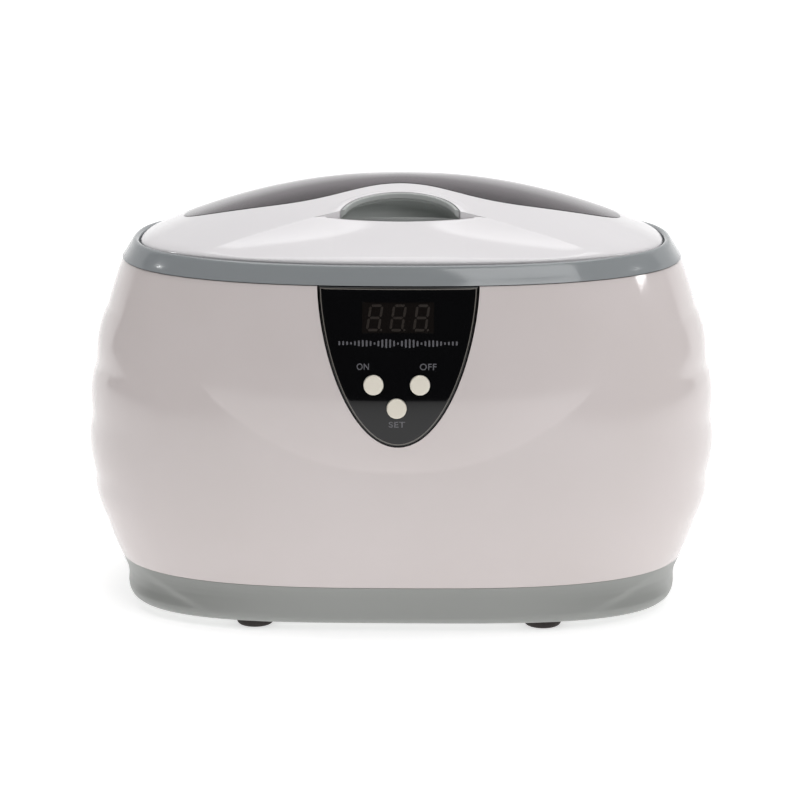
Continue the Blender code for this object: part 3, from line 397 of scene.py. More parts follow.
# %% [markdown]
# Metals differ by their last process. Pressed stainless sheet keeps the mill's long brushing
# lines; turned parts carry fine rings; extruded and plated parts are nearly smooth. Lines are the
# same noise squeezed along one axis, so one recipe takes the stretch and the line's width.

# %% Metals
def metal(name, colour, roughness, line_mm, stretch, depth):
    """Bare metal: brushing or turning lines as squeezed noise in roughness and bump."""
    material, tree, shader, spot = finish(name, Metallic=1.0, Base_Color=linear(colour))
    lines = grain(tree, spot, line_mm, stretch, detail=4.0)
    tree.links.new(spread(tree, lines, roughness * 0.7, roughness * 1.3), shader.inputs["Roughness"])
    raised(tree, shader, lines, depth, 0.01)
    return material


STAINLESS = metal("brushed_stainless_sheet", "#c9c8c6", 0.28, 0.5, (0.03, 1, 1), 0.5)
ZINC = metal("zinc_plated_steel", "#b9bbbd", 0.3, 0.6, (1, 1, 0.2), 0.3)
ALUMINIUM = metal("turned_aluminium", "#d2d3d6", 0.34, 0.3, (0.1, 0.1, 1), 0.6)
EXTRUDED = metal("extruded_aluminium", "#c4c5c8", 0.42, 0.4, (1, 1, 0.05), 0.5)
COPPER = metal("rolled_copper", "#c98a63", 0.3, 0.4, (0.1, 1, 1), 0.4)
BRASS = metal("nickel_plated_brass", "#c8b98c", 0.25, 0.3, (1, 0.1, 1), 0.3)
print("metals ready")

# %% [markdown]
# The window is smoked polycarbonate: clear, glossy, with a purple-brown dye. Light is tinted each
# time it crosses the sheet, and the polished surface mirrors the room at a low angle.

# %% Window, fuse glass, circuit board and winding
def clear(name, colour, roughness, ior, wave_mm):
    """A transparent solid with a dyed body and a faint ripple in its polish."""
    material, tree, shader, spot = finish(name, Base_Color=linear(colour), Roughness=roughness,
                                          IOR=ior, Transmission_Weight=1.0)
    raised(tree, shader, grain(tree, spot, wave_mm, detail=1.0), 0.08, 0.02)
    return material


SMOKE = clear("smoked_polycarbonate_window", "#54424e", 0.06, 1.55, 12.0)
GLASS = clear("fuse_glass", "#dfe6e6", 0.04, 1.5, 5.0)


def printed_board(name):
    """Green solder mask over copper tracks: the tracks are the edges of a coarse cell pattern."""
    material, tree, shader, spot = finish(name, Roughness=0.35, Coat_Weight=0.4, Coat_Roughness=0.1)
    cells = add(tree, "TexVoronoi", {"Vector": spot, "Scale": per_metre(4.0)},
                feature="DISTANCE_TO_EDGE", distance="CHEBYCHEV").outputs["Distance"]
    track = add(tree, "Math", {0: cells, 1: 0.12}, operation="LESS_THAN").outputs[0]
    two_tone(tree, shader, track, "#0f4a26", "#1f6b3a")
    return material


def wound_wire(name):
    """Enamelled copper turns: a wave along Z paints shade into the grooves between 0.6 mm wires."""
    material, tree, shader, spot = finish(name, Metallic=1.0, Roughness=0.28)
    wave = add(tree, "TexWave", {"Vector": spot, "Scale": per_metre(0.6) / 20}, bands_direction="Z")
    # Painted shade: the dark tone marks the grooves between turns, where shade falls.
    two_tone(tree, shader, wave.outputs["Fac"], "#5f2c14", "#c4713c")
    return material


BOARD = printed_board("green_solder_mask_board")
WINDING = wound_wire("enamelled_copper_winding")
print("all finishes:", len(bpy.data.materials))

# %% [markdown]
# ## Placing pieces
# A new piece takes a finish, rides on the CAD body that moves it, and stands for the CAD nodes
# it hides.


def dress(piece, material, body, *nodes):
    """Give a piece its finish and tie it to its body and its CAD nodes."""
    piece.data.materials.clear()
    piece.data.materials.append(material)
    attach(piece, body)
    if nodes:
        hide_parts(*nodes)
    return piece


# %% [markdown]
# ## The barrel
# Two half shells make the barrel, parted down its sides. Their surface adds two things to the
# plain barrel: ripples for the fingers on the sides, and a brow across the front that stands proud
# above a crease curved like a smile. The grid's rows follow the crease, so that the mesh can bend
# sharply there.

# %% The barrel's surface
def half_width(z):
    """Half the barrel's width: a circular arc above the widest level and a tighter one below."""
    radius = np.where(z > WIDEST_Z, ARC_UPPER, ARC_LOWER)
    return HALF_WIDTH - radius + np.sqrt(radius ** 2 - (z - WIDEST_Z) ** 2)


def outline_power(z):
    """The superellipse power falls steadily from base to collar."""
    return POWER_BOTTOM + (POWER_TOP - POWER_BOTTOM) * (z - SHELL_BOTTOM) / (SHELL_TOP - SHELL_BOTTOM)


def ripple(z, angle):
    """Between two notches the side swells as a sine of height, fading round the corner."""
    weight = np.clip(1 - np.arccos(np.clip(np.abs(np.cos(angle)), 0, 1)) / RIPPLE_REACH, 0, 1)
    weight = weight ** 2 * (3 - 2 * weight)
    swell = np.zeros(np.broadcast(z, angle).shape)
    for upper, lower in zip(NOTCHES, NOTCHES[1:]):
        share = np.clip((upper - z) / (upper - lower), 0, 1)
        swell = swell + np.sin(math.pi * share ** 0.85)
    return RIPPLE_RISE * weight * swell


def crease_z(x):
    """Height of the front crease: a curve that climbs faster the further out it goes."""
    return BROW_LOW + BROW_LIFT * (np.abs(x) / BROW_WIDTH) ** 2.25


def brow(x, z):
    """The front stands proud by a half sine between the crease and the top, fading sideways."""
    low = np.minimum(crease_z(x), SHELL_TOP - 1)
    climb = np.clip((z - low) / (SHELL_TOP - low), 0, 1)
    return BROW_RISE * np.clip(1 - (x / BROW_WIDTH) ** 2, 0, 1) * np.sin(math.pi * climb ** 0.8)


def barrel(z, angle, wall=0.0):
    """Points of the barrel, or of a surface this far inside it."""
    half = half_width(z)
    swell = ripple(z, angle) * (wall == 0) - wall
    x, y = ellipse_like(half + swell, half * DEPTH_RATIO + swell, outline_power(z), angle)
    y = y - np.where(y < 0, brow(x, z), 0)
    return np.stack([x, y, z + 0 * x], axis=-1)


def front_y(x, z):
    """The barrel's front surface at a width and a height."""
    half, power = half_width(z), outline_power(z)
    return -half * DEPTH_RATIO * (1 - np.abs(x / half) ** power) ** (1 / power) - brow(x, z)


print("widest level", float(half_width(np.array(WIDEST_Z))))

# %% Rows that follow the crease
ROWS_BELOW, ROWS_ABOVE, COLUMNS = 44, 64, 260


def shell_grid(side, wall):
    """Half a barrel: rows run level below and above, and one row runs along the front crease."""
    angle = side * np.linspace(0, math.pi, COLUMNS)
    split = np.full(COLUMNS, 70.0)
    for _ in range(4):
        x = barrel(split, angle)[:, 0]
        split = np.minimum(crease_z(x), 84.0 + 2.0 * np.tanh((crease_z(x) - 84.0) / 8.0))
    if side > 0:
        split = np.full(COLUMNS, 62.0)
    low = np.linspace(0, 1, ROWS_BELOW, endpoint=False)[:, None]
    high = np.linspace(0, 1, ROWS_ABOVE)[:, None]
    z = np.concatenate([SHELL_BOTTOM + (split - SHELL_BOTTOM) * low, split + (SHELL_TOP - split) * high])
    grid = barrel(z, angle[None], wall)
    grid[:, (0, -1), 1] = side * 0.06
    return grid


def half_shell(name, side):
    """Outer and inner grids of one half, joined into a closed wall."""
    return thick_sheet(name, shell_grid(side, 0.0), shell_grid(side, SHELL_WALL), 38)


front_shell = half_shell("front_shell_skin", -1)
rear_shell = half_shell("rear_shell_skin", 1)
print("front shell", len(front_shell.data.polygons), "faces")

# %% [markdown]
# The fascia sits in a notch cut down from the front shell's top edge. The rear shell has the mains
# inlet's window and a row of vents. These are closed cutters taken out of the fine skins.

# %% Panel outline, notch and rear openings
SIDE_STEPS, TOP_STEPS = 96, 24


def shield(grow):
    """A level top edge and sides z = top - height * (1 - u^2)^0.625, u being the share of width."""
    u = np.sin(np.linspace(-math.pi / 2, math.pi / 2, SIDE_STEPS))
    height = PANEL_TOP - PANEL_TIP + grow
    sides = np.stack([u * (PANEL_X + grow), PANEL_TOP - height * (1 - u ** 2) ** 0.625], axis=1)
    top = np.linspace(0.9, -0.9, TOP_STEPS)
    edge = np.stack([top * (PANEL_X + grow), np.full(TOP_STEPS, PANEL_TOP)], axis=1)
    return np.concatenate([sides, edge])


notch = shield(0.32)
notch[:, 1] = np.where(notch[:, 1] > PANEL_TOP - 0.01, PANEL_TOP + 4, notch[:, 1])
boolean(front_shell, prism("notch", notch, -82, -52), sharp=38)
openings = [prism("inlet_window", rounded_box(12.4, 8.4, 2.8, (0, 30.0)), 58, 82)]
for x in 38.0 + 5.0 * np.arange(6):
    openings.append(prism("vent", rounded_box(1.0, 8.0, 0.95, (x, 32.0)), 50, 82))
boolean(rear_shell, merged("rear_openings", openings), sharp=38)
dress(front_shell, WHITE, "housing", "front_shell")
dress(rear_shell, WHITE, "housing", "rear_shell")
print("front shell after the notch", len(front_shell.data.polygons), "faces")

# %% [markdown]
# ## The base tray
# The tray closes the barrel from below. Its front apron is flush with the barrel, while each side
# draws in as a cove, and a soft diagonal line parts the two. Its lower edge is rounded. A foot sits in
# a shallow socket near each corner, and a deep hole beside it takes a shell screw.

# %% Base tray
def blend_between(value, low, high):
    """Smoothstep: 0 below low, 1 above high, an S curve between."""
    t = np.clip((value - low) / (high - low), 0, 1)
    return t * t * (3 - 2 * t)


BASE_OUTLINE = np.array([(95.0, 66.7, 2.9, BASE_TOP), (94.5, 66.45, 2.95, 13.7), (93.9, 66.3, 3.02, 12.3),
                         (93.2, 66.2, 3.12, 10.6), (92.6, 66.0, 3.3, 8.2), (92.3, 65.8, 3.5, 5.6),
                         (92.0, 65.6, 3.5, 4.5), (91.4, 65.0, 3.52, 3.5), (90.6, 64.2, 3.54, 2.8),
                         (89.6, 63.3, 3.55, BASE_BOTTOM)])
COVE_DEPTH, RING_STEPS = 0.62, 300


def base_skin():
    """Level rings from the rim to the underside, with the sides drawn in below the diagonal."""
    heights = np.concatenate([np.linspace(BASE_TOP, 5.0, 26), np.linspace(4.7, BASE_BOTTOM, 8)])
    rows = np.stack([np.interp(-heights, -BASE_OUTLINE[:, 3], BASE_OUTLINE[:, i]) for i in range(3)]
                    + [heights], axis=1)
    grid = level_rings(rows, RING_STEPS)
    x, z = grid[..., 0], grid[..., 2]
    line = 86.5 - 2.2 * np.maximum(BASE_TOP - z, 0) ** 1.05
    outside = 1 - (1 - np.clip((np.abs(x) - line + 2.0) / 7.0, 0, 1)) ** 2
    belly = np.sin(math.pi * np.clip((BASE_TOP - z) / (BASE_TOP - 3.4), 0, 1))
    away = grid[..., :2] / np.linalg.norm(grid[..., :2], axis=-1, keepdims=True)
    grid[..., :2] -= away * (COVE_DEPTH * outside * belly)[..., None]
    return grid


inner_rows = [(89.2, 63.0, 3.5, 4.9), (90.0, 63.6, 3.3, 10.0), (92.6, 64.3, 2.9, BASE_TOP)]
inner = level_rings(inner_rows, RING_STEPS)
base_tray = hoop("base_tray_skin", np.concatenate([inner, base_skin()]), 40)
floor_top = level_rings([(89.2, 63.0, 3.5, 4.9), (89.6, 63.3, 3.55, BASE_BOTTOM)], RING_STEPS)
boolean(base_tray, capped("tray_floor", floor_top), "UNION")
print("base tray", len(base_tray.data.polygons), "faces")

# %% Posts, screw holes and foot sockets
CORNERS = [(sx, sy) for sx in (-1, 1) for sy in (-1, 1)]
BOARD_SCREWS = ((39.5, -27.5), (76.5, 27.5))


def moved(piece, x, y, z=0.0, turn=0.0):
    """Turn a piece's mesh about X and set it in its place, leaving its object at the origin."""
    place = Matrix.Translation((x * MM, y * MM, z * MM))
    piece.data.transform(place @ Matrix.Rotation(turn, 4, "X"))
    return piece


posts = [moved(turned("tube", [(4.8, 3.0), (4.8, BASE_TOP)], 40), sx * SCREW_X, sy * SCREW_Y)
         for sx, sy in CORNERS]
posts += [moved(turned("post", [(3.2, 3.0), (3.2, 13.0)], 32), x, y) for x, y in BOARD_SCREWS]
boolean(base_tray, merged("posts", posts), "UNION")
bores = []
for sx, sy in CORNERS:
    screw_bore = [(3.9, 2.0), (3.5, 2.9), (3.5, 9.0), (1.6, 9.0), (1.6, 20.0)]
    bores.append(moved(turned("bore", screw_bore, 40), sx * SCREW_X, sy * SCREW_Y))
    bores.append(moved(turned("socket", [(6.3, 1.0), (6.3, 3.7)], 56), sx * FOOT_X, sy * FOOT_Y))
bores += [moved(turned("pilot", [(1.5, 6.0), (1.5, 20.0)], 32), x, y) for x, y in BOARD_SCREWS]
boolean(base_tray, merged("tray_bores", bores))
dress(base_tray, BASE_GREY, "housing", "base_tray")
print("base tray with its holes", len(base_tray.data.polygons), "faces")

# %% [markdown]
# The feet are moulded rubber pucks with a rounded bearing edge and a dimple underneath, so each
# one grips the bench by suction as well as by friction.

# %% Feet
foot_profile = np.concatenate([[(0.0, 0.55), (2.6, 0.5), (3.4, 0.12)], [(3.9, 0.0), (4.7, 0.0)],
                               arc((4.7, 1.3), 1.3, -75, 0, 8), [(6.0, 2.8)],
                               arc((5.6, 3.0), 0.4, 0, 90, 4), [(0.0, 3.4)]])
for end, sy in (("front", -1), ("rear", 1)):
    for hand, sx in (("left", -1), ("right", 1)):
        foot = moved(turned(f"foot_{end}_{hand}_skin", foot_profile, 72), sx * FOOT_X, sy * FOOT_Y)
        dress(foot, RUBBER, "housing", f"foot_{end}_{hand}")
print("four feet, each", len(foot.data.polygons), "faces")

# %% [markdown]
# ## The collar
# A grey ring crowns the barrel. It slopes up, rolls over a small rounded edge, then drops to the
# ledge where the lid rests, and runs in to the tank's mouth. Behind, four lugs carry two hinge pins.

# %% Collar ring and hinge lugs
collar_rows = [(93.1, 65.17, 2.39, COLLAR_BOTTOM), (92.7, 64.95, 2.39, 113.4),
               (92.0, 64.5, 2.39, 114.6), (91.2, 63.9, 2.39, 115.9), (90.5, 63.4, 2.39, 117.0),
               (89.95, 62.95, 2.39, 117.8), (89.55, 62.62, 2.39, 118.4), (89.1, 62.28, 2.39, 118.75),
               (88.6, 61.95, 2.39, COLLAR_TOP), (88.1, 61.65, 2.39, 118.85), (87.65, 61.4, 2.39, 118.6),
               (87.45, 61.3, 2.39, 118.2), (87.4, 61.3, 2.39, COLLAR_LEDGE),
               (82.5, 54.5, 2.9, COLLAR_LEDGE), (80.6, 51.6, 3.6, 115.1), (79.0, 49.0, 4.5, 114.3),
               (78.6, 48.6, 4.5, 113.4), (78.6, 48.6, 4.5, COLLAR_BOTTOM)]


def eye(radius, start, end, count=24):
    """Part of a circle round the hinge line, in the plane of Y and Z."""
    return arc((HINGE_Y, HINGE_Z), radius, start, end, count)


def hinge_rod(name, radius, x, half_length, edge=0.0):
    """A cylinder along the hinge line."""
    ring = eye(radius, 0, 360, 49)[:-1]
    return prism(name, ring, x - half_length, x + half_length, "X", edge)


collar = hoop("collar_skin", level_rings(collar_rows, 340), 42)
lugs = []
for sx in (-1, 1):
    for near, far, front in ((25.6, 29.7, 60.2), (38.3, 42.4, 57.9)):
        low, high = sorted((sx * near, sx * far))
        web = np.concatenate([eye(HINGE_EYE, -60, 200), [(front, 118.4), (front, 113.6), (66.2, 113.6)]])
        lugs.append(prism("lug", web, low, high, "X", 0.35))
boolean(collar, merged("lugs", lugs), "UNION")
rods = [hinge_rod("lug_bore", HINGE_BORE, sx * HINGE_X, 12.0) for sx in (-1, 1)]
boolean(collar, merged("lug_bores", rods))
dress(collar, COLLAR_GREY, "housing", "collar_ring")
for hand, sx in (("left", -1), ("right", 1)):
    pin = hinge_rod(f"hinge_pin_{hand}_skin", 1.5, sx * HINGE_X, 8.2, 0.3)
    dress(pin, ZINC, "housing", f"hinge_pin_{hand}")
print("collar", len(collar.data.polygons), "faces")

# %% [markdown]
# ## The lid
# The lid is one shallow dome over a rounded outline. A white frame carries the smoked window, whose
# edge steps back behind the finger grip. Round that arch the frame swells into a narrow hump, and in
# front of the grip a fan-shaped flat leads the finger in.

# %% The dome
def dome_share(x, y):
    """0 at the crown and 1 at the rim: the superellipse norm of the outline."""
    wide = np.abs(x / (LID_X + 1)) ** POWER_TOP
    deep = np.abs(y / (LID_Y + 0.6)) ** POWER_TOP
    return (wide + deep) ** (1 / POWER_TOP)


def dome(x, y):
    """Height of the plain dome: a paraboloid over the superellipse norm."""
    return LID_RIM + LID_RISE * (1 - dome_share(x, y) ** 2)


def signed_power(value, power):
    """|v|^p with v's own sign."""
    return np.sign(value) * np.abs(value) ** power


def window_edge(t, grow=0.0):
    """The window's edge in plan: deeper behind than in front, and dipped behind the grip."""
    c, s = np.cos(t), np.sin(t)
    reach = np.where(s > 0, WINDOW_REAR, WINDOW_FRONT) + grow
    x = (WINDOW_X + grow) * signed_power(c, 2 / WINDOW_POWER)
    y = WINDOW_Y + reach * signed_power(s, 2 / WINDOW_POWER)
    return x, y + np.where(s < 0, DIP_DEPTH * np.exp(-(x / DIP_WIDTH) ** 2), 0)


def arch_share(x, y):
    """1 on the grip's arch, less inside it and more outside."""
    return ((np.abs(x) / GRIP_X) ** ARCH_POWER
            + (np.maximum(y - GRIP_Y, 0) / GRIP_DEEP) ** ARCH_POWER) ** (1 / ARCH_POWER)


def frame_height(x, y):
    """The dome, fuller at the front rim, with a narrow bell-shaped hump round the arch."""
    bell = np.exp(-((arch_share(x, y) - 1.06) / 0.10) ** 2)
    brim = BRIM_RISE * dome_share(x, y) ** 6 * np.clip(-y / LID_Y, 0, 1) ** 2
    return dome(x, y) + brim + HUMP_RISE * bell * blend_between(y, LEDGE_Y - 1.0, LEDGE_Y + 6.0)


FAN_HALF, FAN_FLARE, FAN_POWER, FAN_LENGTH = 27.5, 0.77, 1.73, 24.0
FAN_FULL, FAN_FADE, FAN_END = 21.0, 36.0, 70.0


def fan_depth(x, y):
    """The flat before the grip: a parabola forwards and another across, fading out to the sides."""
    forward = np.maximum(LEDGE_Y - y, 0)
    outer = FAN_HALF + FAN_FLARE * forward ** FAN_POWER
    across = np.clip(1 - (x / outer) ** 2, 0, 1)
    side = np.abs(x)
    fade = np.exp(-np.maximum(side - FAN_FULL, 0) / FAN_FADE) * np.clip((FAN_END - side) / 20, 0, 1)
    return FAN_DEPTH * np.clip(1 - (forward / FAN_LENGTH) ** 2, 0, 1) * across * fade


print("crown at", float(dome(0, 0)), "mm")

# %% [markdown]
# The frame is a ring of ribs from the window's edge to the rim. Its grid is dense near the window
# and the rim, where the light bends. Two arms behind reach the hinge pins, and a pocket takes the grip.

# %% Lid frame
LID_TURNS = 420


def frame_row(share, drop, rim_inset=4.0, follow=True):
    """A loop of points at this share of the way from the window's edge to near the rim."""
    t = turns(LID_TURNS)
    wx, wy = window_edge(t)
    power = 2 / POWER_TOP
    rx = (LID_X - rim_inset) * signed_power(np.cos(t), power)
    ry = (LID_Y - rim_inset) * signed_power(np.sin(t), power)
    x, y = wx + (rx - wx) * share, wy + (ry - wy) * share
    z = frame_height(x, y) if follow else dome(x, y)
    return np.stack([x, y, z - drop], axis=1)


def rim_row(rim_inset, z):
    """A level loop of points along the rim."""
    row = frame_row(1.0, 0.0, rim_inset)
    row[:, 2] = z
    return row


def bend_row(t):
    """The rim's rounded edge: a quadratic Bezier curve that leaves along the dome and ends upright."""
    start, turn = frame_row(1.0, 0.0, 4.0)[:, 2], frame_row(1.0, 0.0, 0.4)[:, 2]
    row = rim_row(4.0 * (1 - t) ** 2 + 0.8 * t * (1 - t), 0.0)
    row[:, 2] = (1 - t) ** 2 * start + 2 * t * (1 - t) * turn + t ** 2 * (turn - 1.1)
    return row


shares = (1 - np.cos(np.linspace(0, math.pi, 44))) / 2
top = [frame_row(0.0, 0.6), frame_row(0.0, 0.12), frame_row(0.003, 0.02)]
top += [frame_row(s, 0.0) for s in shares[3:-2]]
edge = [bend_row(t) for t in np.linspace(0, 1, 9)]
for back, drop in ((0.05, 0.6), (0.25, 1.3), (0.6, 2.0)):
    row = rim_row(back, 0.0)
    row[:, 2] = edge[8][:, 2] - drop
    edge.append(row)
edge.append(rim_row(0.9, 115.7))
under = [rim_row(2.2, 115.7), frame_row(1.0, LID_WALL, 4.6)]
for s in np.linspace(0.9, 0.0, 20):
    row = frame_row(s, LID_WALL, follow=False)
    row[:, 2] -= fan_depth(row[:, 0], row[:, 1]) * blend_between(LEDGE_Y + 4 - row[:, 1], 0, 3)
    under.append(row)
lid_frame = hoop("lid_frame_skin", np.stack(top + edge + under), 42)
arms = []
for sx in (-1, 1):
    root = [(HINGE_Y - 12, HINGE_Z - 0.4), (HINGE_Y - 12, HINGE_Z - 2.8)]
    arm = np.concatenate([eye(HINGE_EYE, -120, 90), root])
    arms.append(prism("arm", arm, sx * HINGE_X - 3.8, sx * HINGE_X + 3.8, "X", 0.4))
boolean(lid_frame, merged("arms", arms), "UNION")
print("lid frame", len(lid_frame.data.polygons), "faces")

# %% Holes in the lid frame
ARCH_STEPS, STRAIGHT_STEPS = 90, 28


def grip_loop(grow):
    """The grip in plan: most of a half superellipse, closed by a straight front edge."""
    front = LEDGE_Y - grow
    share = (front - GRIP_Y) / (GRIP_DEEP + grow)
    start = math.atan2(share, (1 - share ** ARCH_POWER) ** (1 / ARCH_POWER))
    angle = np.linspace(start, math.pi - start, ARCH_STEPS)
    x, y = ellipse_like(GRIP_X + grow, GRIP_DEEP + grow, ARCH_POWER, angle)
    straight = np.linspace(x[-1], x[0], STRAIGHT_STEPS + 2)[1:-1]
    return np.concatenate([np.stack([x, GRIP_Y + y], axis=1),
                           np.stack([straight, np.full(STRAIGHT_STEPS, front)], axis=1)])


def fan_cutter():
    """All that lies above the flat: its back is the riser, which flares out from the grip."""
    x = np.linspace(-74, 74, 297)[None]
    riser = LEDGE_Y + np.interp(np.abs(x), (19.3, 27.0, 74.0), (1.0, -1.0, -4.0))
    share = np.linspace(0, 1, 60)[:, None] ** 1.3
    y = riser + (-64.0 - riser) * share
    lip = np.clip(1 - (LEDGE_Y - y) / 1.3, 0, 1)
    roll = 1.3 * (1 - np.sqrt(1 - lip ** 2)) * (np.abs(x) < 24)
    low = frame_height(x, y) - fan_depth(x, y) - roll + 0.06
    flat = np.stack([x + 0 * y, y, low], axis=-1)
    return thick_sheet("fan", flat * (1, 1, 0) + (0, 0, 150), flat)


rods = [hinge_rod("arm_bore", HINGE_BORE, sx * HINGE_X, 6.0) for sx in (-1, 1)]
boolean(lid_frame, merged("arm_bores", rods))
boolean(lid_frame, fan_cutter())
boolean(lid_frame, prism("pocket", grip_loop(0.25), 112, 150, "Z"))
dress(lid_frame, LID_WHITE, "lid", "lid_frame")
print("lid frame with its pocket", len(lid_frame.data.polygons), "faces")

# %% [markdown]
# The window drops into the frame from below: its face stands just proud of the frame, and a hidden
# flange behind it is bonded under the frame's edge. The surface is the dome itself, so the smoked
# sheet curves both ways.

# %% Lid window
def window_loop(scale, grow, drop):
    """A loop of the window's outline, scaled towards the crown and set on the dome."""
    x, y = window_edge(turns(360), grow)
    x = x * scale
    y = WINDOW_Y + 6 + (y - WINDOW_Y - 6) * scale
    return np.stack([x, y, dome(x, y) - drop], axis=1)


scales = np.sqrt(np.linspace(0.0004, 0.985, 30))
face = [window_loop(s, -0.08, -0.1) for s in scales]
lip = [window_loop(1.0, -0.2, -0.1), window_loop(1.0, -0.11, -0.06), window_loop(1.0, -0.08, 0.05),
       window_loop(1.0, -0.08, LID_WALL + 0.3), window_loop(1.0, 2.2, LID_WALL + 0.3),
       window_loop(1.0, 2.2, LID_WALL + 1.4)]
back = [window_loop(s, -0.3, LID_WALL + 0.3 + 0.9) for s in scales[::-1]]
lid_window = capped("lid_window_skin", np.stack(face + lip + back), 34)
dress(lid_window, SMOKE, "lid", "lid_window")
print("lid window", len(lid_window.data.polygons), "faces")

# %% [markdown]
# The finger grip is a moulded cup pressed into the frame: a rounded rim that follows the dome, and
# a scooped inside that deepens towards the arch, so a fingertip can hook under and lift.

# %% Lid grip
CUP_UNDER, CUP_FLOOR = 120.6, 121.9


def grip_row(shrink, drop):
    """A loop this far inside the grip's outline, this far below the frame's surface."""
    edge = grip_loop(0.0)
    loop = inset(edge, shrink) if shrink else edge
    return np.column_stack([loop, frame_height(edge[:, 0], edge[:, 1]) - drop])


def scoop_row(scale):
    """A loop shrinking towards the cup's lowest spot, its depth a smooth bowl."""
    loop = inset(grip_loop(0.0), 1.25)
    middle = np.array([0.0, LEDGE_Y + 5.0])
    rim = frame_height(loop[:, 0], loop[:, 1]) - 5.0
    bowl = CUP_FLOOR + (rim - CUP_FLOOR) * scale ** 5
    return np.column_stack([middle + (loop - middle) * scale, bowl])


def hooded(row, reach):
    """Stretch a loop backwards from the ledge, so that the cup runs back under its own rim."""
    back = LEDGE_Y + (row[:, 1] - LEDGE_Y) * reach
    return np.column_stack([row[:, 0] * (1 + 0.25 * (reach - 1)), back, row[:, 2]])


under_cup = hooded(np.column_stack([grip_loop(0.0), np.full(ARCH_STEPS + STRAIGHT_STEPS, CUP_UNDER)]), 1.45)
outside = [under_cup, hooded(grip_row(0.0, 3.6), 1.45), grip_row(0.0, 2.6), grip_row(0.0, 0.35),
           grip_row(0.1, 0.1), grip_row(0.3, 0.0)]
rim = [grip_row(0.9, 0.0), grip_row(1.12, 0.15), grip_row(1.25, 0.5), grip_row(1.25, 1.6),
       hooded(grip_row(1.25, 2.4), 1.2), hooded(grip_row(1.25, 3.6), 1.36)]
scoop = [hooded(scoop_row(s), 1.38) for s in np.linspace(1.0, 0.02, 30) ** 0.6]
lid_grip = capped("lid_grip_skin", np.stack(outside + rim + scoop), 50)
open_front = np.array([(-30, -60), (30, -60), (30, LEDGE_Y + 1.4), (-30, LEDGE_Y + 1.4)])
boolean(lid_grip, prism("open_front", open_front, 126.2, 150, "Z"), sharp=50)
dress(lid_grip, GRIP_GREY, "lid", "lid_grip")
print("lid grip", len(lid_grip.data.polygons), "faces")

# %% [markdown]
# ## The fascia
# A shield of piano-black acrylic fills the notch. It follows the barrel's own curve and stands a
# hair proud. A thin pale strip just inside its edge is a painted highlight: a grey plate standing in for
# the light caught along the acrylic's rounded edge.

# %% Fascia panel
PANEL_CENTRE = np.array([0.0, PANEL_MID])


def on_front(flat, depth):
    """Set flat (x, z) points on the barrel's front, this far into it; negative stands proud."""
    x, z = flat[:, 0], np.minimum(flat[:, 1], PANEL_TOP)
    return np.stack([x, front_y(x, z) + depth, z], axis=1)


def shrunk(outline, centre, scale):
    """An outline scaled towards a centre."""
    return centre + (outline - centre) * scale


def slab(name, outline, centre, face, deep, edge, flange=None):
    """A slab following the front: a face of shrinking loops, a quarter-round edge, sides and a back."""
    spokes = np.linspace(0.02, 1.0, 26)
    rows = [on_front(shrunk(inset(outline, edge), centre, s), face) for s in spokes]
    rows += [on_front(inset(outline, edge * (1 - math.sin(a))), face + edge * (1 - math.cos(a)))
             for a in np.radians(np.linspace(15, 90, 6))]
    back = outline
    if flange:
        rows += [on_front(outline, deep), on_front(inset(outline, -flange), deep),
                 on_front(inset(outline, -flange), deep + 1.2)]
        back = inset(outline, 2.0)
        rows += [on_front(back, deep + 1.2), on_front(back, deep - 0.9)]
        deep = deep - 0.9
    rows += [on_front(shrunk(back, centre, s), deep) for s in spokes[::-3]]
    return capped(name, np.stack(rows), 34)


panel_outline = shield(-0.15)
fascia = slab("fascia_panel_skin", panel_outline, PANEL_CENTRE, -PANEL_PROUD, 3.3, 0.38, 1.9)
print("fascia", len(fascia.data.polygons), "faces")

# %% Holes for the display and the buttons
def facing_front(piece, x, z):
    """Turn a piece made about Z so that it points out of the panel, and seat it on the panel."""
    y = float(front_y(np.array(x), np.array(z))) - PANEL_PROUD
    return moved(piece, x, y, z, math.pi / 2 - TILT)


display_middle = np.array([0.0, DISPLAY_Z])
lens_hole = rounded_box(DISPLAY_X + 0.04, DISPLAY_TALL + 0.04, 0.3, display_middle)
cutters = [prism("lens_hole", lens_hole, -82, -55)]
cutters += [facing_front(turned("button_hole", [(BUTTON_HOLE, -8.0), (BUTTON_HOLE, 8.0)], 72), x, z)
            for x, z in BUTTONS.values()]
boolean(fascia, merged("fascia_holes", cutters), sharp=34)
dress(fascia, PANEL_BLACK, "housing", "fascia_panel")
lens = slab("display_lens_skin", rounded_box(DISPLAY_X, DISPLAY_TALL, 0.3, display_middle),
            display_middle, -PANEL_PROUD, 2.0, 0.04)
dress(lens, LENS_BLACK, "housing", "display_lens")
# Painted highlight: a thin grey plate just inside the panel's edge stands in for the light on its bevel.
painted_highlight_rows = [on_front(inset(panel_outline, back), -PANEL_PROUD - lift)
        for back, lift in ((0.42, 0.0), (0.42, 0.03), (0.74, 0.03), (0.74, 0.0))]
dress(hoop("panel_painted_highlight", np.stack(painted_highlight_rows), 40), PAINTED_EDGE_HIGHLIGHT, "housing")
print("fascia with holes", len(fascia.data.polygons), "faces")

# %% [markdown]
# Behind the lens three slanted digits are unlit. Each is seven bars with pointed ends, and a round
# decimal point. They are thin plates laid on the lens, in a brown a little lighter than it.

# %% Display digits
SEGMENT_WIDE, DIGIT_WIDE, DIGIT_TALL, DIGIT_PITCH = 0.78, 3.6, 7.3, 7.3
SLANT = math.tan(math.radians(9))


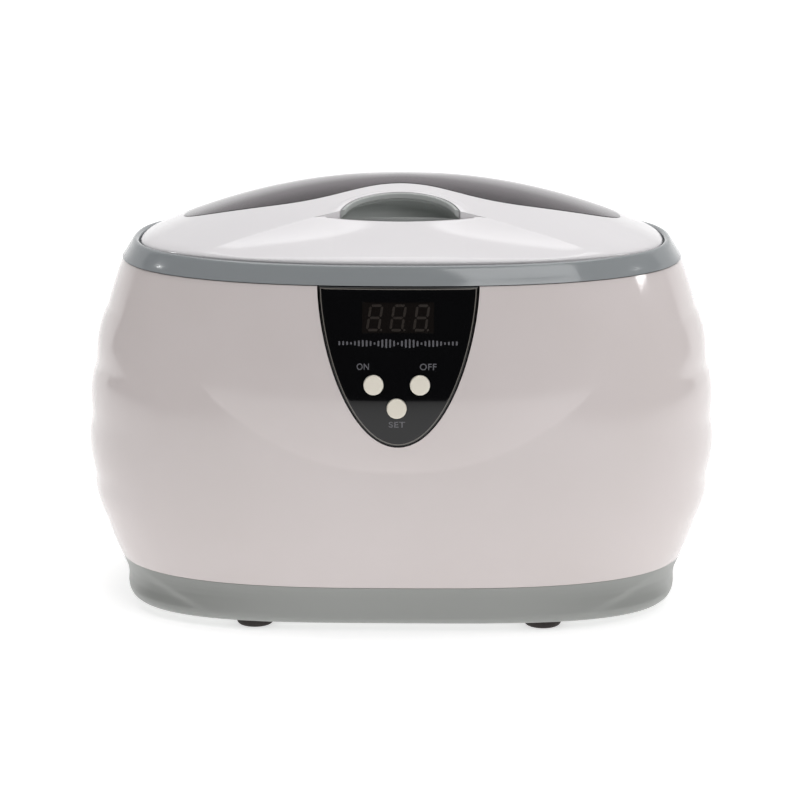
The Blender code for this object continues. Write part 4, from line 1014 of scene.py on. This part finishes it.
def segment(x0, z0, x1, z1):
    """A bar between two points of a digit: a long hexagon, pulled back a little at both ends."""
    a, b = np.array([x0, z0], float), np.array([x1, z1], float)
    along = (b - a) / np.linalg.norm(b - a)
    side = np.array([-along[1], along[0]]) * SEGMENT_WIDE / 2
    a, b, point = a + along * 0.2, b - along * 0.2, along * SEGMENT_WIDE / 2
    return np.array([a, a + point - side, b - point - side, b, b - point + side, a + point + side])


def plate(name, outline, face, thick=0.03):
    """A thin flat plate of an outline, laid on the panel's front."""
    return capped(name, np.stack([on_front(outline, face), on_front(outline, face - thick)]))


w, h = DIGIT_WIDE / 2, DIGIT_TALL / 2
bars = [(-w, h, w, h), (-w, 0, w, 0), (-w, -h, w, -h), (-w, 0, -w, h), (w, 0, w, h), (-w, -h, -w, 0),
        (w, -h, w, 0)]
shapes = [segment(*bar) for bar in bars] + [arc((w + 0.75, -h), 0.36, 0, 345, 24)]
plates = []
for place in (-1, 0, 1):
    for shape in shapes:
        leaning = shape + np.stack([SLANT * shape[:, 1], 0 * shape[:, 1]], axis=1)
        plates.append(plate("bar", leaning + (place * DIGIT_PITCH, DISPLAY_Z), -PANEL_PROUD))
digits = dress(merged("display_digits", plates), UNLIT, "housing")
smooth(digits, 20)
print(len(plates), "display segments")

# %% [markdown]
# The panel is screen printed in grey. The buttons carry plain words for their use. Above them, in
# place of a maker's title, runs a row of small bars whose heights swell and fall like a sound wave.

# %% Printed marks
def word(text, x, z, tall, stretch):
    """Plain lettering made into a thin mesh, then laid on the panel's curve."""
    curve = bpy.data.curves.new("word", "FONT")
    curve.body, curve.size, curve.extrude, curve.offset = text, tall * 1.38, 0.02, 0.035
    curve.align_x, curve.align_y, curve.space_character = "CENTER", "CENTER", 1.08
    carrier = shown("word", curve)
    mesh = bpy.data.meshes.new_from_object(carrier.evaluated_get(bpy.context.evaluated_depsgraph_get()))
    bpy.data.objects.remove(carrier)
    flat = np.empty(len(mesh.vertices) * 3)
    mesh.vertices.foreach_get("co", flat)
    flat = flat.reshape(-1, 3)
    lift = np.outer(flat[:, 2] + 0.02, (0, 1, 0))
    placed = on_front(flat[:, :2] * (stretch, 1) + (x, z), -PANEL_PROUD) - lift
    mesh.vertices.foreach_set("co", (placed * MM).ravel())
    return shown("word", sealed(mesh))


marks = [word("ON", -10.9, 88.6, 2.0, 0.9), word("OFF", 9.4, 88.6, 2.0, 1.05),
         word("SET", -0.3, 70.6, 1.9, 1.2)]
for number in range(-15, 16):
    swell = 0.35 + 1.05 * abs(math.sin(number * 0.52)) * math.exp(-(number / 13) ** 2)
    bar = rounded_box(0.28, swell, 0.2, (number * 1.22, 95.8), 3)
    marks.append(plate("wave_bar", bar, -PANEL_PROUD, 0.04))
dress(merged("panel_print", marks), INK, "housing")
print(len(marks), "printed marks")

# %% [markdown]
# Each button is a moulded cap: a flat face with a small rounded edge, a skirt through the panel, and
# a flange behind it that stops the cap falling out. A stem reaches for its switch.

# %% Buttons
cap_profile = np.concatenate([[(1.6, -6.5), (1.6, -4.5), (4.5, -4.5), (4.5, -3.6), (3.1, -3.6)],
                              arc((2.75, 0.95), 0.35, 0, 90, 8), [(1.5, 1.31), (0.0, 1.32)]])
for name, (x, z) in BUTTONS.items():
    cap = facing_front(turned(f"button_{name}_cap", cap_profile, 96, 30), x, z)
    dress(cap, BUTTON_CREAM, f"{name}_button", f"button_{name}")
print("three buttons, each", len(cap.data.polygons), "faces")

# %% [markdown]
# ## The tank
# The tank is one deep-drawn sheet of stainless steel: a flat floor, a wide corner radius that the
# draw needs, nearly upright walls and a flange that hangs on the collar. A shallow rolled bead
# marks how full it may be.

# %% Tank
TANK_X, TANK_Y, TANK_FLOOR, FILL_LINE = 77.5, 47.5, 58.0, 98.0


def tank_rows(sheet):
    """Inside rows from the floor up; with a sheet thickness, the matching outside rows."""
    rows = [(4.0 + s * (TANK_X - 20), 4.0 + s * (TANK_Y - 20), 2.2 + 0.9 * s, TANK_FLOOR)
            for s in np.linspace(0, 1, 10)]
    for back, rise in ((12.0, 0.1), (9.5, 0.5), (7.6, 1.2), (6.0, 2.3), (4.8, 3.8), (3.9, 5.6), (3.3, 8.0)):
        rows.append((TANK_X - back, TANK_Y - back, 3.3 + 0.11 * (12 - back), TANK_FLOOR + rise))
    for z in np.linspace(68, 110, 40):
        bead = 0.7 * math.exp(-((z - FILL_LINE) / 0.9) ** 2)
        back = 3.2 - 2.0 * (z - 68) / 42 - bead
        rows.append((TANK_X - back, TANK_Y - back, 4.3 + 0.2 * (z - 68) / 42, z))
    rows += [(TANK_X - 0.9, TANK_Y - 0.9, 4.5, 110.6), (TANK_X - 0.3, TANK_Y - 0.3, 4.5, 111.2)]
    return [(a + sheet, b + sheet, n, z - (sheet if z < 62 else 0)) for a, b, n, z in rows]


flange = [(TANK_X + 0.3, TANK_Y + 0.3, 4.5, 111.4), (TANK_X + 4.0, TANK_Y + 4.0, 4.5, 111.4),
          (TANK_X + 4.0, TANK_Y + 4.0, 4.5, 110.6), (TANK_X + 0.8, TANK_Y + 0.8, 4.5, 110.5)]
tank = capped("tank_skin", level_rings(tank_rows(0.0) + flange + tank_rows(0.8)[:-2][::-1], 220), 36)
dress(tank, STAINLESS, "housing", "tank")
print("tank", len(tank.data.polygons), "faces")

# %% [markdown]
# ## The mains inlet
# A two-pin inlet shaped like a figure of eight sits low in the back. The socket is moulded in
# black nylon with a raised frame, and the pins are plated brass with rounded tips.

# %% Inlet and pins
INLET_FACE, INLET_Z, INLET_PIN = 70.6, 30.0, 4.8


def figure_eight(grow):
    """Two circles side by side, joined by straight flanks."""
    right = arc((INLET_PIN - 0.8, INLET_Z), 4.6 + grow, -90, 90, 40)
    left = arc((0.8 - INLET_PIN, INLET_Z), 4.6 + grow, 90, 270, 40)
    loop = np.concatenate([right, left])
    waist = 0.35 * np.exp(-(loop[:, 0] / 1.5) ** 2)
    loop[:, 1] -= waist * np.sign(loop[:, 1] - INLET_Z)
    return loop


inlet_box = rounded_box(12.0, 8.0, 2.5, (0, INLET_Z), 12)
inlet = prism("mains_inlet_skin", inlet_box, 55.6, INLET_FACE, "Y", 0.5)
boolean(inlet, prism("recess", figure_eight(1.1), INLET_FACE - 0.6, 80), sharp=32)
boolean(inlet, prism("socket", figure_eight(0.0), INLET_FACE - 12, 80), sharp=32)
holes = [moved(turned("pin_bore", [(1.3, -10.0), (1.3, 10.0)], 32), sx * INLET_PIN, 60, INLET_Z,
               math.pi / 2) for sx in (-1, 1)]
boolean(inlet, merged("pin_bores", holes), sharp=32)
dress(inlet, INLET_BLACK, "housing", "mains_inlet")
tip = np.concatenate([[(1.2, -17.4)], arc((0.5, -0.7), 0.7, 0, 90, 8), [(0.0, 0.0)]])
for hand, sx in (("left", -1), ("right", 1)):
    pin = turned(f"inlet_pin_{hand}_skin", tip, 40)
    moved(pin, sx * INLET_PIN, INLET_FACE - 2.5, INLET_Z, -math.pi / 2)
    dress(pin, BRASS, "housing", f"inlet_pin_{hand}")
print("inlet", len(inlet.data.polygons), "faces")

# %% [markdown]
# ## Inside
# The sealed pieces stay as the CAD made them: the transducer stack, the power board with its parts,
# the control board and the wiring. Each takes the finish of its own material.

# %% Finishes for the pieces inside
KEPT = {
    ZINC: ("shell_screw_front_left", "shell_screw_front_right", "shell_screw_rear_left",
           "shell_screw_rear_right", "board_screw_near", "board_screw_far", "transducer_bolt",
           "transducer_back_mass"),
    ALUMINIUM: ("transducer_horn",),
    EXTRUDED: ("heat_sink",),
    CERAMIC: ("piezo_upper", "piezo_lower"),
    COPPER: ("electrode_upper", "electrode_lower"),
    SILICONE: ("tank_gasket",),
    BOARD: ("driver_board", "control_board"),
    SLEEVE: ("bulk_capacitor",),
    FILM: ("film_capacitor",),
    FERRITE: ("inductor_core",),
    WINDING: ("inductor_winding",),
    PACKAGE: ("power_transistor_left", "power_transistor_right", "display_module", "switch_on",
              "switch_off", "switch_set"),
    GLASS: ("fuse",),
    NYLON: ("lead_connector",),
    BLACK_WIRE: ("mains_lead",),
    RED_WIRE: ("transducer_lead",),
    GREY_WIRE: ("control_lead",),
}
for material, names in KEPT.items():
    for name in names:
        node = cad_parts[name]
        node.data.materials.clear()
        node.data.materials.append(material)
print(sum(len(names) for names in KEPT.values()), "pieces kept from the CAD")

# %% [markdown]
# ## The studio
# A white floor runs far in front and behind, and a white sheet, dimmer towards its top, hangs
# behind. One large soft light hangs overhead, another fills the front from above the camera, and a
# small one on each side picks out the edges. The room itself is dim, so the black panel stays black.

# %% Floor, backdrop and lights
def sheet(name, corners, material):
    """One flat four-sided sheet, in metres."""
    mesh = bpy.data.meshes.new(name)
    mesh.from_pydata(corners, [], [(0, 1, 2, 3)])
    mesh.materials.append(material)
    shown(name, mesh)


def area_light(name, place, target, size, watts):
    """A soft white rectangle of light aimed at a point."""
    lamp = bpy.data.lights.new(name, "AREA")
    lamp.shape, lamp.size, lamp.size_y = "RECTANGLE", size[0], size[1]
    lamp.energy = watts
    carrier = shown(name, lamp)
    aim = Vector(place) - Vector(target)
    carrier.location = place
    carrier.rotation_euler = aim.to_track_quat("Z", "Y").to_euler()


def opal(name, body, low, high):
    """Opal acrylic lit from behind: a diffuse body that glows less towards half a metre up."""
    material, tree, shader, spot = finish(name, Base_Color=(body, body, body, 1.0), Roughness=0.9,
                                          Specular_IOR_Level=0.0, Emission_Color=(1.0, 1.0, 1.0, 1.0))
    up = add(tree, "SeparateXYZ", {0: spot}).outputs["Z"]
    glow = add(tree, "MapRange", {"Value": up, "From Min": 0.12, "From Max": 0.5, "To Min": low,
                                  "To Max": high}).outputs[0]
    tree.links.new(glow, shader.inputs["Emission Strength"])
    return material


paper = opal("opal_table", 0.7, 0.62, 0.62)
glow = opal("opal_backdrop", 0.3, 0.85, 0.42)
sheet("floor", [(-4, -3.2, 0), (4, -3.2, 0), (4, 2.6, 0), (-4, 2.6, 0)], paper)
sheet("backdrop", [(-2.1, 1.35, -0.02), (2.1, 1.35, -0.02), (2.1, 1.35, 2.4), (-2.1, 1.35, 2.4)], glow)
area_light("overhead", (0.0, 0.15, 1.35), (0, 0, 0.05), (1.5, 1.2), 13.5)
area_light("front_fill", (0.8, -1.15, 1.5), (0, 0, 0.06), (1.3, 0.7), 9.3)
area_light("side_left", (-1.0, 0.18, 0.5), (0, 0, 0.08), (0.08, 0.08), 0.9)
area_light("side_right", (1.0, 0.05, 0.5), (0, 0, 0.08), (0.16, 0.16), 1.0)
room = bpy.data.worlds.new("room")
room.use_nodes = True
room.node_tree.nodes["Background"].inputs["Color"].default_value = linear("#9a9a9c")
room.node_tree.nodes["Background"].inputs["Strength"].default_value = 0.12
bpy.context.scene.world = room
bpy.context.scene.view_settings.view_transform = "Standard"
print("studio ready")

# %% Camera
lens_data = bpy.data.cameras.new("camera")
lens_data.lens, lens_data.sensor_width = 122.3, 36.0
lens_data.clip_start = 0.05
camera = shown("camera", lens_data)
YAW, DISTANCE, EYE_LEVEL = math.radians(1.0), 0.9, 0.265
camera.location = (DISTANCE * math.sin(YAW) - 0.0006, -DISTANCE * math.cos(YAW), EYE_LEVEL)
camera.rotation_euler = (math.radians(90 - 12.72), 0.0, YAW)
bpy.context.scene.camera = camera
print("camera at", tuple(camera.location))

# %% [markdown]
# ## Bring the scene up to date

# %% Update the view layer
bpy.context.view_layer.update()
